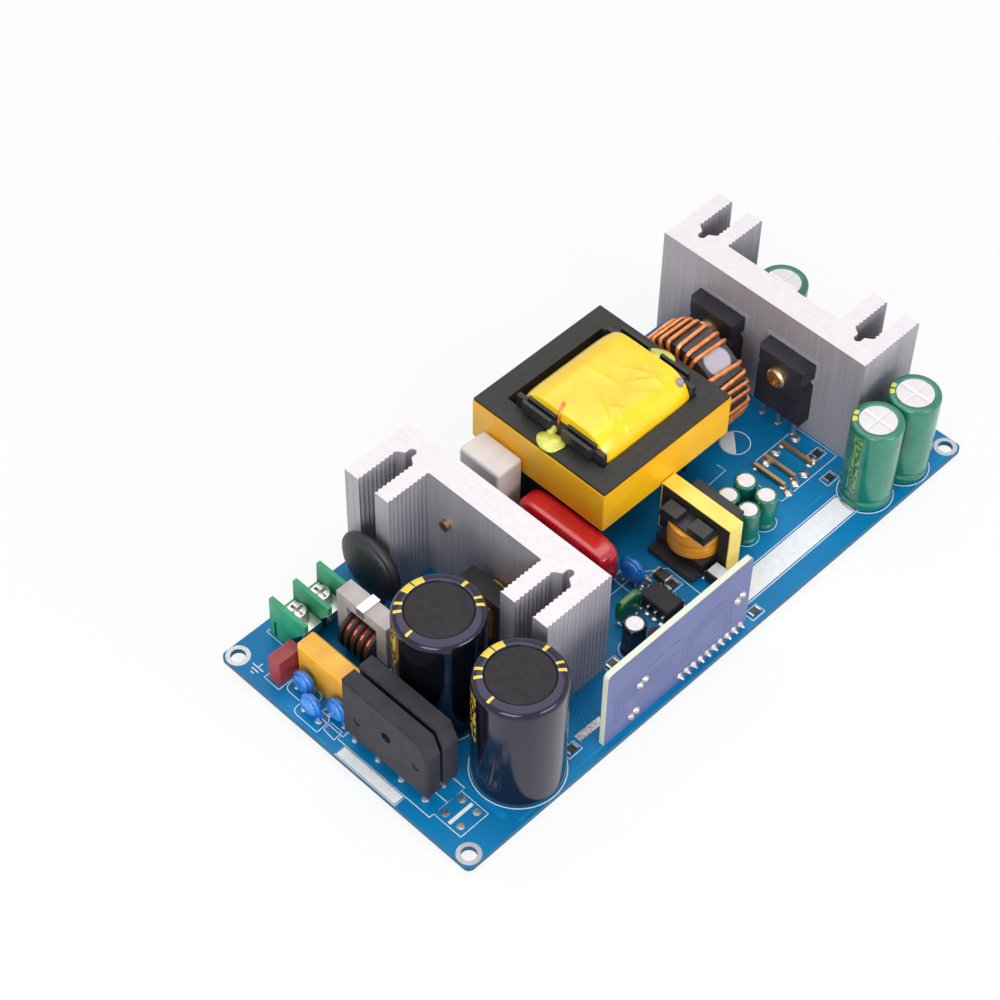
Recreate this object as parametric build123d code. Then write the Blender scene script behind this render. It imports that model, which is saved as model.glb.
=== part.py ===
from build123d import *
import os
from math import sqrt

# Open-frame mains power supply on one printed circuit board, in millimetres.
# Origin: centre of the four mounting holes, on the underside of the board.
# +X runs from the mains input end to the low-voltage output end, +Z is up.
# Heights named *_H and *_Z are measured from the component side of the board.

# Board
BOARD_T = 1.6
BOARD_CORNER_R = 1.8
MOUNT_HOLE_D = 4.0
MOUNT_HOLE_INSET = 3.25
LEAD_HOLE_CLEARANCE = 0.15
LEAD_OUT = 2.2
SMALL_LEAD_OUT = 1.6
FIT_GAP = 0.1

# Bridge rectifiers, two flat four-lead packages one behind the other
BRIDGE_T = 4.6
BRIDGE_L = 29.0
BRIDGE_H = 20.0
BRIDGE_Z = 5.5
BRIDGE_GAP = 1.2
BRIDGE_NEAR_MARGIN = 18.5
BRIDGE_CUT_Y = 2.3
BRIDGE_CUT_Z = 5.0
BRIDGE_HOLE_D = 3.2
BRIDGE_HOLE_FROM_END = 13.7
BRIDGE_HOLE_UP = 11.6
BRIDGE_EDGE = 0.5
BRIDGE_MARK_D = 2.4
BRIDGE_MARK_DEPTH = 0.25
BRIDGE_MARKS_FROM_HOLE = [(10.1, -3.8), (-10.0, -1.8)]
BRIDGE_LEAD_PITCH = 8.1
BRIDGE_LEAD_FROM_END = 1.8
BRIDGE_LEAD = (0.9, 1.5)

# Bulk electrolytic capacitors
BULK_D = 23.5
BULK_H = 38.0
BULK_GAP = 3.4
BULK_NEAR_MARGIN = 0.5
BULK_SHOULDER_R = 1.6
BULK_TOP_INSET = 1.7
BULK_TOP_DROP = 0.6
BULK_LEAD_PITCH = 10.0
BULK_LEAD = (1.4, 0.8)

# Heatsink extrusion, used twice
SINK_H = 37.3
SINK_DEPTH = 22.1
SINK_WALL = 8.2
FIN_T = 5.0
SLOT_W = 5.7
SLOT_BOTTOM = 8.9
SLOT_TAPER = 1.2
KEYHOLE_D = 2.2
KEYHOLE_DEPTH = 2.4
KEYHOLE_EDGE = 0.7
CHANNEL_W = 38.4
RIB_PITCH = 1.4
RIB_DEPTH = 0.45
PEG = (1.6, 1.6)
FRONT_SINK_FAR_MARGIN = 1.3
REAR_SINK_FAR_MARGIN = 0.5

# Power semiconductors in the three-lead package, screwed to the heatsinks
POWER_W = 15.9
POWER_H = 21.0
POWER_T = 4.8
POWER_Z = 5.7
POWER_NOTCH_R = 1.4
POWER_HOLE_FROM_TOP = 6.2
POWER_HOLE_D = 3.6
POWER_EDGE = 0.8
POWER_LEAD_PITCH = 5.45
POWER_LEAD = (0.7, 1.2)
POWER_LEAD_BACK = 2.4
PAD_T = 0.2
PAD_MARGIN = 1.0
RECTIFIER_PITCH = 24.7
RECTIFIER_SHIFT = 0.2
SWITCH_PITCH = 26.0
SWITCH_Z = 8.0
SCREW_D = 3.0
SCREW_HEAD_D = 6.0
SCREW_HEAD_H = 2.2
SCREW_TIP = 1.4
SCREW_HOLE_CLEARANCE = 0.05

# Main transformer, core lying flat above the board
TRANSFORMER_L = 48.3
TRANSFORMER_W = 46.9
CORE_T = 14.3
CORE_Z = 15.7
CORE_BACK = 6.0
CORE_LEG = 6.2
CORE_CENTRE_LEG = 12.4
TAPE_T = 0.4
TAPE_SHY = 0.2
COIL_W = 30.4
COIL_H = 28.2
COIL_OFFSET_Y = -1.3
COIL_CORNER_R = 8.0
COIL_EDGE = 1.0
BOBBIN_WALL = 1.2
BOBBIN_GAP = 0.35
FLANGE_T = 1.4
FLANGE_RISE = 3.4
LUG_T = 3.0
LUG_W = 9.8
LUG_PITCH = 13.8
LUG_Z = 1.2
LUG_H = 3.4
LUG_GROOVE_W = 1.1
LUG_GROOVE_DEPTH = 1.3
RAIL_W = 5.8
RAIL_Z = 0.6
RAIL_L = 27.0
TRANSFORMER_PIN = (0.9, 0.9)
TRANSFORMER_PIN_PITCH = 5.0
TRANSFORMER_SIDE_PINS = 5
GLUE_L = 8.6
GLUE_W = 5.6
GLUE_H = 1.0
GLUE_EDGE = 0.6

# Toroidal output choke, standing with its axis along the board
TOROID_OUTER_D = 29.4
TOROID_INNER_D = 16.0
TOROID_CORE_W = 10.6
TOROID_WIRE = 1.15
TOROID_TURNS = 27
TOROID_GAP_ANGLE = 34.0
TOROID_GAP_LEAN_ANGLE = 32.0
TOROID_FIT = 0.1
TOROID_BEND_SHARE = 0.7
TOROID_FOOT_Z = 0.3
TOROID_Y_FROM_FAR = 29.35
TOROID_LEAD = (1.1, 1.1)

# Auxiliary transformer, core standing upright across the board
AUX_L = 23.4
AUX_H = 16.9
AUX_T = 4.8
AUX_LEG = 3.2
AUX_CENTRE_LEG = 4.8
AUX_BAR = 3.2
AUX_Z = 0.5
AUX_TAPE_T = 0.3
AUX_FROM_TRANSFORMER_FACE = 24.4
AUX_TUBE_WALL = 0.7
AUX_COIL_RX = 8.4
AUX_COIL_RY = 7.6
AUX_COIL_FORWARD = 0.8
AUX_FLANGE_T = 0.9
AUX_FLANGE_W = 15.6
AUX_FLANGE_L = 15.6
AUX_LUG = (4.2, 5.4, 1.9)
AUX_LUG_PITCH = 9.2
AUX_RAIL_L = 15.4
AUX_RAIL_Z = 0.6
AUX_FOOT_W = 3.2
AUX_FOOT_H = 1.4
AUX_PIN = (0.6, 0.6)
AUX_PIN_PITCH = 4.2
AUX_SIDE_PINS = 4

# Daughter board on its right-angle header
DAUGHTER_T = 1.6
DAUGHTER_L = 52.4
DAUGHTER_H = 28.0
DAUGHTER_CORNER_R = 1.5
DAUGHTER_FROM_SINK_FACE = -17.3
HEADER_PITCH = 2.54
HEADER_PINS = 10
HEADER_FROM_END = 2.2
HEADER_PIN = 0.64
HEADER_Z = 2.4
HEADER_BAR = 2.5
HEADER_REACH = 1.2
HEADER_TIP = 0.8
HEADER_HOLE_CLEARANCE = 0.1

# Gaps that chain the main parts along the board and across it
IN_MARGIN = 4.3
BRIDGE_TO_BULK = 2.55
BULK_TO_SINK = 2.65
SINK_TO_TRANSFORMER = 21.8
TRANSFORMER_TO_TOROID = 0.9
TOROID_TO_RECTIFIER = 7.4
OUT_MARGIN = 3.9
NEAR_MARGIN = 1.75
DAUGHTER_TO_AUX = 12.6
AUX_TO_TRANSFORMER = 0.4
FAR_MARGIN = 1.85

# Screw terminals, barrier type
TERMINAL_PITCH = 8.0
OUTPUT_TERMINAL_PITCH = 7.6
TERMINAL_POLES = 2
PLATE_T = 1.3
PLATE_H = 14.2
PLATE_L = 13.6
PLATE_LEAN = 0.6
PLATE_LIP = 2.6
PLATE_FOOT = 4.9
TERMINAL_BODY_H = 6.6
TERMINAL_FAR_MARGIN = 3.4
TERMINAL_FROM_EDGE = 14.0
OUTPUT_TERMINAL_GAP = 0.7
OUTPUT_TERMINAL_MARGIN = 1.4
CLAMP_T = 0.9
CLAMP_L = 9.8
CLAMP_BACK = 1.4
CLAMP_LIP = 1.6
CLAMP_GAP = 0.3
TERMINAL_SCREW_DEPTH = 4.5
TERMINAL_SCREW_D = 3.4
TERMINAL_HEAD_D = 6.0
TERMINAL_HEAD_H = 2.2
TERMINAL_SCREW_BACK = 5.4
DRIVER_SLOT_W = 0.9
DRIVER_SLOT_DEPTH = 0.9
DRIVER_SLOT_SHARE = 0.7
SCREW_EDGE_SHARE = 0.25
TERMINAL_PIN = (1.2, 0.9)
TERMINAL_PIN_BACK = 2.3

# Input filter: fuse block, boxed capacitor, ceramic discs, choke, thermistor
FUSE_L = 8.0
FUSE_W = 4.0
FUSE_H = 8.5
FUSE_FROM_EDGE = 4.2
FUSE_TO_TERMINAL = 10.2
FUSE_LEAD_PITCH = 5.08
XCAP_L = 19.2
XCAP_W = 6.2
XCAP_H = 12.5
XCAP_FROM_EDGE = 10.0
XCAP_TO_TERMINAL = 14.8
XCAP_LEAD_PITCH = 15.0
BOX_EDGE = 0.6
DISC_R = 3.4
DISC_T = 3.2
DISC_Z = 1.0
DISC_LEAD_PITCH = 5.0
DISC_RIM_SHARE = 0.25
DISC_DOME_R_SHARE = 0.62
DISC_DOME_T_SHARE = 0.43
DISCS_FROM_EDGE_AND_XCAP = [(7.4, 4.5), (4.0, -1.9), (7.6, -7.5)]
CHOKE_T = 5.0
CHOKE_L = 17.7
CHOKE_TOP = 19.5
CHOKE_BAR = 3.6
CHOKE_Z = 5.0
CHOKE_FROM_SINK_TIPS = 15.9
BULK_TO_CHOKE = 2.85
CHOKE_TO_TERMINAL = 0.05
CHOKE_TUBE_WALL = 0.8
CHOKE_FLANGE_R = 6.2
CHOKE_FLANGE_T = 0.9
CHOKE_FLANGE_COUNT = 5
CHOKE_WINDING_R = 5.4
CHOKE_LEAD = (0.8, 0.8)
CLIP_W = 2.6
CLIP_T = 0.4
CLIP_DROP = 2.2
NTC_R = 10.4
NTC_T = 5.5
NTC_Z = 3.0
NTC_EDGE = 1.6
NTC_TO_SINK = 0.95
NTC_FAR_MARGIN = 13.9
NTC_LEAD_PITCH = 7.5

# Base driver transformer in the front heatsink's channel
DRIVER_L = 14.7
DRIVER_W = 5.4
DRIVER_H = 17.6
DRIVER_Z = 2.2
DRIVER_LEG = 3.0
DRIVER_TO_CHANNEL = 2.7
DRIVER_SHIFT_Y = -6.4
DRIVER_FLANGE_T = 0.9
DRIVER_PIN_PITCH = 5.0

# Film capacitors between the heatsink and the transformer
BOXCAP_L = 14.2
BOXCAP_W = 9.2
BOXCAP_H = 21.8
BOXCAP_EDGE = 1.0
BOXCAP_TO_TRANSFORMER = 0.3
BOXCAP_FAR_MARGIN = 6.55
BOXCAP_LEAD_PITCH = 10.0
REDCAP_L = 31.0
REDCAP_W = 8.3
REDCAP_H = 14.6
REDCAP_Z = 0.6
REDCAP_EDGE = 2.6
REDCAP_TO_BOXCAP = 3.5
REDCAP_INTO_CORE = 1.2
REDCAP_LEAD_PITCH = 24.0

# Output and signal electrolytics: distance from the output edge, from the near edge
OUTCAP_D = 14.1
OUTCAP_H = 28.6
OUTCAP_BEAD_UP = 3.0
OUTCAP_BEAD = 0.5
OUTCAP_SHOULDER_R = 0.9
OUTCAP_INSET = 1.9
OUTCAP_DROP = 0.4
OUTCAP_PLACES = [(31.1, 8.45), (16.8, 7.65)]
OUTCAP_CHANNEL_Y = 5.3
OUTCAP_CHANNEL_GAP = 0.5
OUTCAP_LEAD_PITCH = 5.0
SMALLCAP_D = 6.4
SMALLCAP_H = 11.0
SMALLCAP_SHOULDER_R = 0.5
SMALLCAP_INSET = 0.9
SMALLCAP_DROP = 0.3
SMALLCAP_SPACING_X = 7.0
SMALLCAP_SPACING_Y = 7.0
AUX_TO_SMALLCAPS = 0.2
SMALLCAP_FROM_NEAR = 24.4
BLACKCAP_FROM_SINK = 9.3
BLACKCAP_FROM_NEAR = 16.7
SMALLCAP_LEAD_PITCH = 2.5

# Current shunts, wire bridges in front of the rectifiers
SHUNT_WIRE = 1.0
SHUNT_L = 9.6
SHUNT_Z = 0.6
SHUNTS_FROM_REAR_SINK = [8.1, 14.9, 19.2]
SHUNT_FROM_NEAR = 25.0

# Control parts between the front heatsink and the auxiliary transformer
DIP_W = 6.4
DIP_L = 9.6
DIP_H = 3.3
DIP_Z = 0.6
DIP_BEVEL = 0.35
DIP_NOTCH_R = 0.8
DIP_NOTCH_DEPTH = 0.4
DIP_SIDE_PINS = 4
DIP_PITCH = 2.54
DIP_ROW = 7.9
DIP_LEAD_T = 0.3
DIP_LEAD_W = 0.6
DIP_FROM_SINK = 24.6
DIP_FROM_NEAR = 20.85
OPTO_W = 4.6
OPTO_L = 6.6
OPTO_FROM_SINK = 41.0
OPTO_FROM_NEAR = 15.5
GREENFILM_L = 9.0
GREENFILM_W = 3.2
GREENFILM_H = 8.0
GREENFILM_Z = 1.0
GREENFILM_EDGE = 1.2
GREENFILM_FROM_SINK = 16.0
GREENFILM_FROM_NEAR = 24.45
GREENFILM_LEAD_PITCH = 5.0
CONTROL_DISC_R = 4.1
CONTROL_DISC_FROM_SINK = 24.9
CONTROL_DISC_FROM_NEAR = 31.4
TO92_R = 2.3
TO92_H = 4.6
TO92_Z = 2.0
TO92_FROM_SINK = 13.4
TO92_FROM_NEAR = 12.6
TO92_LEAD_PITCH = 1.4
CHIP_H = 0.6
CHIP = (3.2, 1.7)
CHIPS_FROM_FRONT_SINK = [(27.0, 28.8), (31.6, 23.3), (2.3, 17.1), (-23.7, 6.5), (40.0, 2.7)]
CHIPS_FROM_REAR_SINK = [(-4.0, 26.0), (-8.2, 18.2)]
DIODE = (2.6, 4.6, 2.2)
DIODE_FROM_SINK = 31.3
DIODE_FROM_NEAR = 26.6

LEAD = (0.7, 0.7)

BOARD_L = (IN_MARGIN + BRIDGE_T + BRIDGE_GAP + BRIDGE_T + BRIDGE_TO_BULK + BULK_D + BULK_TO_SINK
           + SINK_DEPTH + SINK_TO_TRANSFORMER + TRANSFORMER_L + TRANSFORMER_TO_TOROID
           + TOROID_CORE_W + 2 * (TOROID_WIRE + TOROID_FIT) + TOROID_TO_RECTIFIER
           + POWER_T + PAD_T + SINK_DEPTH + OUT_MARGIN)
INPUT_COLUMN_W = (BULK_NEAR_MARGIN + 2 * BULK_D + BULK_GAP + BULK_TO_CHOKE + CHOKE_L + CHOKE_TO_TERMINAL
                  + PLATE_L + TERMINAL_FAR_MARGIN)
MAIN_COLUMN_W = (NEAR_MARGIN + DAUGHTER_T + DAUGHTER_TO_AUX + AUX_L + AUX_TO_TRANSFORMER
                 + TRANSFORMER_W + FAR_MARGIN)
BOARD_W = max(INPUT_COLUMN_W, MAIN_COLUMN_W)
IN_EDGE, OUT_EDGE = -BOARD_L / 2, BOARD_L / 2
NEAR_EDGE, FAR_EDGE = -BOARD_W / 2, BOARD_W / 2
TOP = BOARD_T

BRIDGE_XS = [IN_EDGE + IN_MARGIN + BRIDGE_T / 2 + i * (BRIDGE_T + BRIDGE_GAP) for i in range(2)]
BRIDGE_Y0 = NEAR_EDGE + BRIDGE_NEAR_MARGIN
BULK_X = BRIDGE_XS[1] + BRIDGE_T / 2 + BRIDGE_TO_BULK + BULK_D / 2
BULK_YS = [NEAR_EDGE + BULK_NEAR_MARGIN + BULK_D / 2 + i * (BULK_D + BULK_GAP) for i in range(2)]
FRONT_TIPS_X = BULK_X + BULK_D / 2 + BULK_TO_SINK
FRONT_FACE_X = FRONT_TIPS_X + SINK_DEPTH
TRANSFORMER_X0 = FRONT_FACE_X + SINK_TO_TRANSFORMER
TRANSFORMER_X = TRANSFORMER_X0 + TRANSFORMER_L / 2
TRANSFORMER_Y = FAR_EDGE - FAR_MARGIN - TRANSFORMER_W / 2
CORE_MID_Z = TOP + CORE_Z + CORE_T / 2
CORE_L = TRANSFORMER_L - 2 * TAPE_T
CORE_W = TRANSFORMER_W - 2 * TAPE_T
WINDOW_L = CORE_L - 2 * CORE_BACK
TOROID_WOUND_W = TOROID_CORE_W + 2 * (TOROID_WIRE + TOROID_FIT)
TOROID_X = TRANSFORMER_X0 + TRANSFORMER_L + TRANSFORMER_TO_TOROID + TOROID_WOUND_W / 2
TOROID_Y = FAR_EDGE - TOROID_Y_FROM_FAR
TOROID_Z = TOP + TOROID_FOOT_Z + TOROID_OUTER_D / 2 + TOROID_WIRE + TOROID_FIT
REAR_FACE_X = TOROID_X + TOROID_WOUND_W / 2 + TOROID_TO_RECTIFIER + POWER_T + PAD_T
SINK_W = 4 * FIN_T + 2 * SLOT_W + CHANNEL_W
FRONT_SINK_Y = FAR_EDGE - FRONT_SINK_FAR_MARGIN - SINK_W / 2
REAR_SINK_Y = FAR_EDGE - REAR_SINK_FAR_MARGIN - SINK_W / 2
SWITCH_YS = [FRONT_SINK_Y + side * SWITCH_PITCH / 2 for side in (-1, 1)]
RECTIFIER_YS = [REAR_SINK_Y + RECTIFIER_SHIFT + side * RECTIFIER_PITCH / 2 for side in (-1, 1)]
AUX_X = TRANSFORMER_X0 + AUX_FROM_TRANSFORMER_FACE
AUX_Y = TRANSFORMER_Y - TRANSFORMER_W / 2 - AUX_TO_TRANSFORMER - AUX_L / 2
DAUGHTER_Y0 = NEAR_EDGE + NEAR_MARGIN
DAUGHTER_X0 = FRONT_FACE_X + DAUGHTER_FROM_SINK_FACE
BOXCAP_X = TRANSFORMER_X0 - BOXCAP_TO_TRANSFORMER - BOXCAP_W / 2
BOXCAP_Y = FAR_EDGE - BOXCAP_FAR_MARGIN - BOXCAP_L / 2
REDCAP_X = TRANSFORMER_X0 + REDCAP_INTO_CORE - REDCAP_W / 2
REDCAP_Y = BOXCAP_Y - BOXCAP_L / 2 - REDCAP_TO_BOXCAP - REDCAP_L / 2
DRIVER_X = FRONT_FACE_X - SINK_WALL - DRIVER_TO_CHANNEL - DRIVER_W / 2
DRIVER_Y = FRONT_SINK_Y + DRIVER_SHIFT_Y
TERMINAL_Y = FAR_EDGE - TERMINAL_FAR_MARGIN
TERMINAL_X = IN_EDGE + TERMINAL_FROM_EDGE
OUTPUT_TERMINAL_Y = REAR_SINK_Y - CHANNEL_W / 2 + OUTPUT_TERMINAL_GAP
OUTPUT_TERMINAL_X = OUT_EDGE - OUTPUT_TERMINAL_MARGIN - PLATE_L
NTC_X = FRONT_TIPS_X - NTC_TO_SINK - NTC_T / 2
NTC_Y = FAR_EDGE - NTC_FAR_MARGIN
CHOKE_X = FRONT_TIPS_X - CHOKE_FROM_SINK_TIPS
CHOKE_Y = BULK_YS[-1] + BULK_D / 2 + BULK_TO_CHOKE + CHOKE_L / 2
FUSE_X = IN_EDGE + FUSE_FROM_EDGE + FUSE_L / 2
FUSE_Y = TERMINAL_Y - FUSE_TO_TERMINAL - FUSE_W / 2
XCAP_X = IN_EDGE + XCAP_FROM_EDGE + XCAP_W / 2
XCAP_Y = TERMINAL_Y - XCAP_TO_TERMINAL - XCAP_L / 2


def block(x0, x1, y0, y1, z0, z1):
    """Box between two corners."""
    centre = Pos((x0 + x1) / 2, (y0 + y1) / 2, (z0 + z1) / 2)
    return centre * Box(x1 - x0, y1 - y0, z1 - z0)


def slab(x, y, z0, size):
    """Box centred over a point, standing on height z0."""
    return Pos(x, y, z0 + size[2] / 2) * Box(*size)


def post(x, y, z0, z1, radius):
    """Upright cylinder."""
    return Pos(x, y, (z0 + z1) / 2) * Cylinder(radius, z1 - z0)


def rod_x(x0, x1, y, z, radius):
    """Cylinder along X."""
    return Pos((x0 + x1) / 2, y, z) * Rot(0, 90, 0) * Cylinder(radius, x1 - x0)


def across_x(profile, x0, x1):
    """Push a profile drawn as (Y, Z) from x0 to x1."""
    plane = Plane(origin=(x0, 0, 0), x_dir=(0, 1, 0), z_dir=(1, 0, 0))
    return extrude(plane * profile, x1 - x0)


def outline(points):
    """Closed face through the points."""
    return make_face(Polyline(*points, close=True))


def cut_corners(solid, axis, size):
    """Chamfer the edges that run along one axis."""
    return chamfer(solid.edges().filter_by(axis), size)


def group(pieces):
    """Separate solids kept together as one node."""
    return Compound(list(pieces))


def row(x, y, pitch, count, along="x"):
    """Places of a centred row."""
    steps = [(i - (count - 1) / 2) * pitch for i in range(count)]
    if along == "x":
        return [(x + step, y) for step in steps]
    return [(x, y + step) for step in steps]


def rim_height(radius, z0, pitch):
    """Height of a standing disc's underside at the inner corner of its leads."""
    offset = pitch / 2 - LEAD[1] / 2
    return z0 + radius - sqrt(radius ** 2 - offset ** 2)


def green_film_place():
    return FRONT_FACE_X + GREENFILM_FROM_SINK, NEAR_EDGE + GREENFILM_FROM_NEAR


def to92_place():
    return FRONT_FACE_X + TO92_FROM_SINK, NEAR_EDGE + TO92_FROM_NEAR


def power_lead_places(x, ys):
    """Leads below the power semiconductors of one heatsink, a row of three each."""
    return [place for y in ys for place in row(x, y, POWER_LEAD_PITCH, 3, "y")]


def bridge_lead_places():
    """Four leads under each bridge rectifier."""
    first = BRIDGE_Y0 + BRIDGE_L - BRIDGE_LEAD_FROM_END
    return [(x, first - i * BRIDGE_LEAD_PITCH) for x in BRIDGE_XS for i in range(4)]


def transformer_pin_places():
    """Pins below the two rails of the main transformer."""
    places = []
    for side in (-1, 1):
        x = TRANSFORMER_X + side * rail_offset()
        places += row(x, TRANSFORMER_Y + COIL_OFFSET_Y, TRANSFORMER_PIN_PITCH, TRANSFORMER_SIDE_PINS, "y")
    return places


def rail_offset():
    """Distance of a pin rail's middle from the middle of the main transformer."""
    return WINDOW_L / 2 - BOBBIN_GAP - FLANGE_T + RAIL_W / 2


def aux_pin_places():
    """Pins below the two rails of the auxiliary transformer."""
    near = AUX_X - (AUX_FLANGE_W + AUX_FOOT_W) / 2
    far = AUX_X + (AUX_FLANGE_W - AUX_FOOT_W) / 2
    return [place for x in (near, far) for place in row(x, AUX_Y, AUX_PIN_PITCH, AUX_SIDE_PINS, "y")]


def dip_places():
    """Leads on both sides of the controller."""
    x = FRONT_FACE_X + DIP_FROM_SINK
    y = NEAR_EDGE + DIP_FROM_NEAR
    return [(x + side * DIP_ROW / 2, py, side) for side in (-1, 1)
            for px, py in row(x, y, DIP_PITCH, DIP_SIDE_PINS, "y")]


def opto_places():
    """Leads on both ends of the optocoupler."""
    x = FRONT_FACE_X + OPTO_FROM_SINK
    y = NEAR_EDGE + OPTO_FROM_NEAR
    reach = (DIP_ROW - DIP_W) / 2
    return [(px, y + side * (OPTO_L / 2 + reach), side) for side in (-1, 1)
            for px, py in row(x, y, DIP_PITCH, 2)]


def header_places():
    """Feet of the right-angle header behind the daughter board."""
    last = DAUGHTER_X0 + DAUGHTER_L - HEADER_FROM_END
    y = DAUGHTER_Y0 + DAUGHTER_T + HEADER_REACH
    return [(last - i * HEADER_PITCH, y) for i in range(HEADER_PINS)]


def output_capacitor_places():
    """Two cans by the near edge and one in the rear heatsink's channel."""
    places = [(OUT_EDGE - dx, NEAR_EDGE + dy) for dx, dy in OUTCAP_PLACES]
    channel_x = REAR_FACE_X + SINK_WALL + OUTCAP_CHANNEL_GAP + OUTCAP_D / 2
    return places + [(channel_x, REAR_SINK_Y + OUTCAP_CHANNEL_Y)]


def small_capacitor_places():
    """Square group of four small cans, then the one beside the controller."""
    x = AUX_X + AUX_FLANGE_W / 2 + AUX_TO_SMALLCAPS + (SMALLCAP_D + SMALLCAP_SPACING_X) / 2
    y = NEAR_EDGE + SMALLCAP_FROM_NEAR
    four = [(x + sx * SMALLCAP_SPACING_X / 2, y + sy * SMALLCAP_SPACING_Y / 2)
            for sx in (-1, 1) for sy in (-1, 1)]
    return four + [(FRONT_FACE_X + BLACKCAP_FROM_SINK, NEAR_EDGE + BLACKCAP_FROM_NEAR)]


def disc_places():
    """Three ceramic discs beside the boxed capacitor and one by the controller."""
    three = [(IN_EDGE + dx, XCAP_Y + dy, DISC_R) for dx, dy in DISCS_FROM_EDGE_AND_XCAP]
    control = (FRONT_FACE_X + CONTROL_DISC_FROM_SINK, NEAR_EDGE + CONTROL_DISC_FROM_NEAR, CONTROL_DISC_R)
    return three + [control]


def shunt_places():
    """Both feet of every wire shunt."""
    y = NEAR_EDGE + SHUNT_FROM_NEAR
    return [(REAR_FACE_X - dx, y + end * SHUNT_L) for dx in SHUNTS_FROM_REAR_SINK for end in (0, 1)]


def lead_rows():
    """Leads that pass the board: node, places, section, top above the board, length below it."""
    switch_leads = power_lead_places(FRONT_FACE_X + PAD_T + POWER_LEAD_BACK, SWITCH_YS)
    rectifier_leads = power_lead_places(REAR_FACE_X - PAD_T - POWER_LEAD_BACK, RECTIFIER_YS)
    fuse_leads = row(FUSE_X, FUSE_Y, FUSE_LEAD_PITCH, 2)
    xcap_leads = row(XCAP_X, XCAP_Y, XCAP_LEAD_PITCH, 2, "y")
    discs = [(row(x, y, DISC_LEAD_PITCH, 2, "y"), rim_height(r, DISC_Z, DISC_LEAD_PITCH))
             for x, y, r in disc_places()]
    ntc_top = rim_height(NTC_R, NTC_Z, NTC_LEAD_PITCH)
    choke_leads = row(CHOKE_X, CHOKE_Y, CHOKE_L - CHOKE_BAR, 2, "y")
    ntc_leads = row(NTC_X, NTC_Y, NTC_LEAD_PITCH, 2, "y")
    bulk_leads = [place for y in BULK_YS for place in row(BULK_X, y, BULK_LEAD_PITCH, 2, "y")]
    driver_leads = row(DRIVER_X, DRIVER_Y, DRIVER_PIN_PITCH, 3, "y")
    boxcap_leads = row(BOXCAP_X, BOXCAP_Y, BOXCAP_LEAD_PITCH, 2, "y")
    redcap_leads = row(REDCAP_X, REDCAP_Y, REDCAP_LEAD_PITCH, 2, "y")
    toroid_leads = row(TOROID_X, TOROID_Y, TOROID_CORE_W, 2)
    outcap_leads = [place for x, y in output_capacitor_places()
                    for place in row(x, y, OUTCAP_LEAD_PITCH, 2)]
    smallcap_leads = [place for x, y in small_capacitor_places()
                      for place in row(x, y, SMALLCAP_LEAD_PITCH, 2)]
    film_leads = row(*green_film_place(), GREENFILM_LEAD_PITCH, 2)
    to92_leads = row(*to92_place(), TO92_LEAD_PITCH, 3)
    return [
        ("bridge_leads", bridge_lead_places(), BRIDGE_LEAD, BRIDGE_Z, LEAD_OUT),
        ("power_leads", switch_leads, POWER_LEAD, SWITCH_Z, LEAD_OUT),
        ("power_leads", rectifier_leads, POWER_LEAD, POWER_Z, LEAD_OUT),
        ("transformer_pins", transformer_pin_places(), TRANSFORMER_PIN, RAIL_Z, LEAD_OUT),
        ("auxiliary_pins", aux_pin_places(), AUX_PIN, AUX_RAIL_Z, SMALL_LEAD_OUT),
        ("component_leads", fuse_leads + xcap_leads + boxcap_leads, LEAD, 0, SMALL_LEAD_OUT),
        ("component_leads", choke_leads, CHOKE_LEAD, CHOKE_Z, SMALL_LEAD_OUT),
        ("component_leads", ntc_leads, LEAD, ntc_top, SMALL_LEAD_OUT),
        ("component_leads", bulk_leads, BULK_LEAD, 0, LEAD_OUT),
        ("component_leads", driver_leads, LEAD, DRIVER_Z, SMALL_LEAD_OUT),
        ("component_leads", redcap_leads, LEAD, REDCAP_Z, SMALL_LEAD_OUT),
        ("component_leads", toroid_leads, TOROID_LEAD, TOROID_FOOT_Z, SMALL_LEAD_OUT),
        ("component_leads", outcap_leads + smallcap_leads, LEAD, 0, SMALL_LEAD_OUT),
        ("component_leads", film_leads, LEAD, GREENFILM_Z, SMALL_LEAD_OUT),
        ("component_leads", to92_leads, AUX_PIN, TO92_Z, SMALL_LEAD_OUT),
    ] + [("component_leads", places, LEAD, top, SMALL_LEAD_OUT) for places, top in discs]


def terminal_frames():
    """Both screw terminals: pole pitch and the place of the rear corner of the first plate."""
    return [
        (TERMINAL_PITCH, Pos(TERMINAL_X, TERMINAL_Y, TOP)),
        (OUTPUT_TERMINAL_PITCH, Pos(OUTPUT_TERMINAL_X, OUTPUT_TERMINAL_Y, TOP) * Rot(0, 0, 90)),
    ]


def pole_centres(pitch):
    """Distances of the poles from the first plate's outer face."""
    return [PLATE_T / 2 + pitch * (i + 0.5) for i in range(TERMINAL_POLES)]


def hole_through_board(x, y, section, clearance=LEAD_HOLE_CLEARANCE):
    """Cutter for one rectangular lead."""
    width, depth = (side + 2 * clearance for side in section)
    return block(x - width / 2, x + width / 2, y - depth / 2, y + depth / 2, -BOARD_T, 2 * BOARD_T)


def lead(x, y, section, top, out):
    """Straight rectangular lead from below the board up to a height above it."""
    width, depth = section
    return block(x - width / 2, x + width / 2, y - depth / 2, y + depth / 2, -out, TOP + top)


def mounting_hole_places():
    spacing_x = BOARD_L - 2 * MOUNT_HOLE_INSET
    spacing_y = BOARD_W - 2 * MOUNT_HOLE_INSET
    return [(sx * spacing_x / 2, sy * spacing_y / 2) for sx in (-1, 1) for sy in (-1, 1)]


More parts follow.
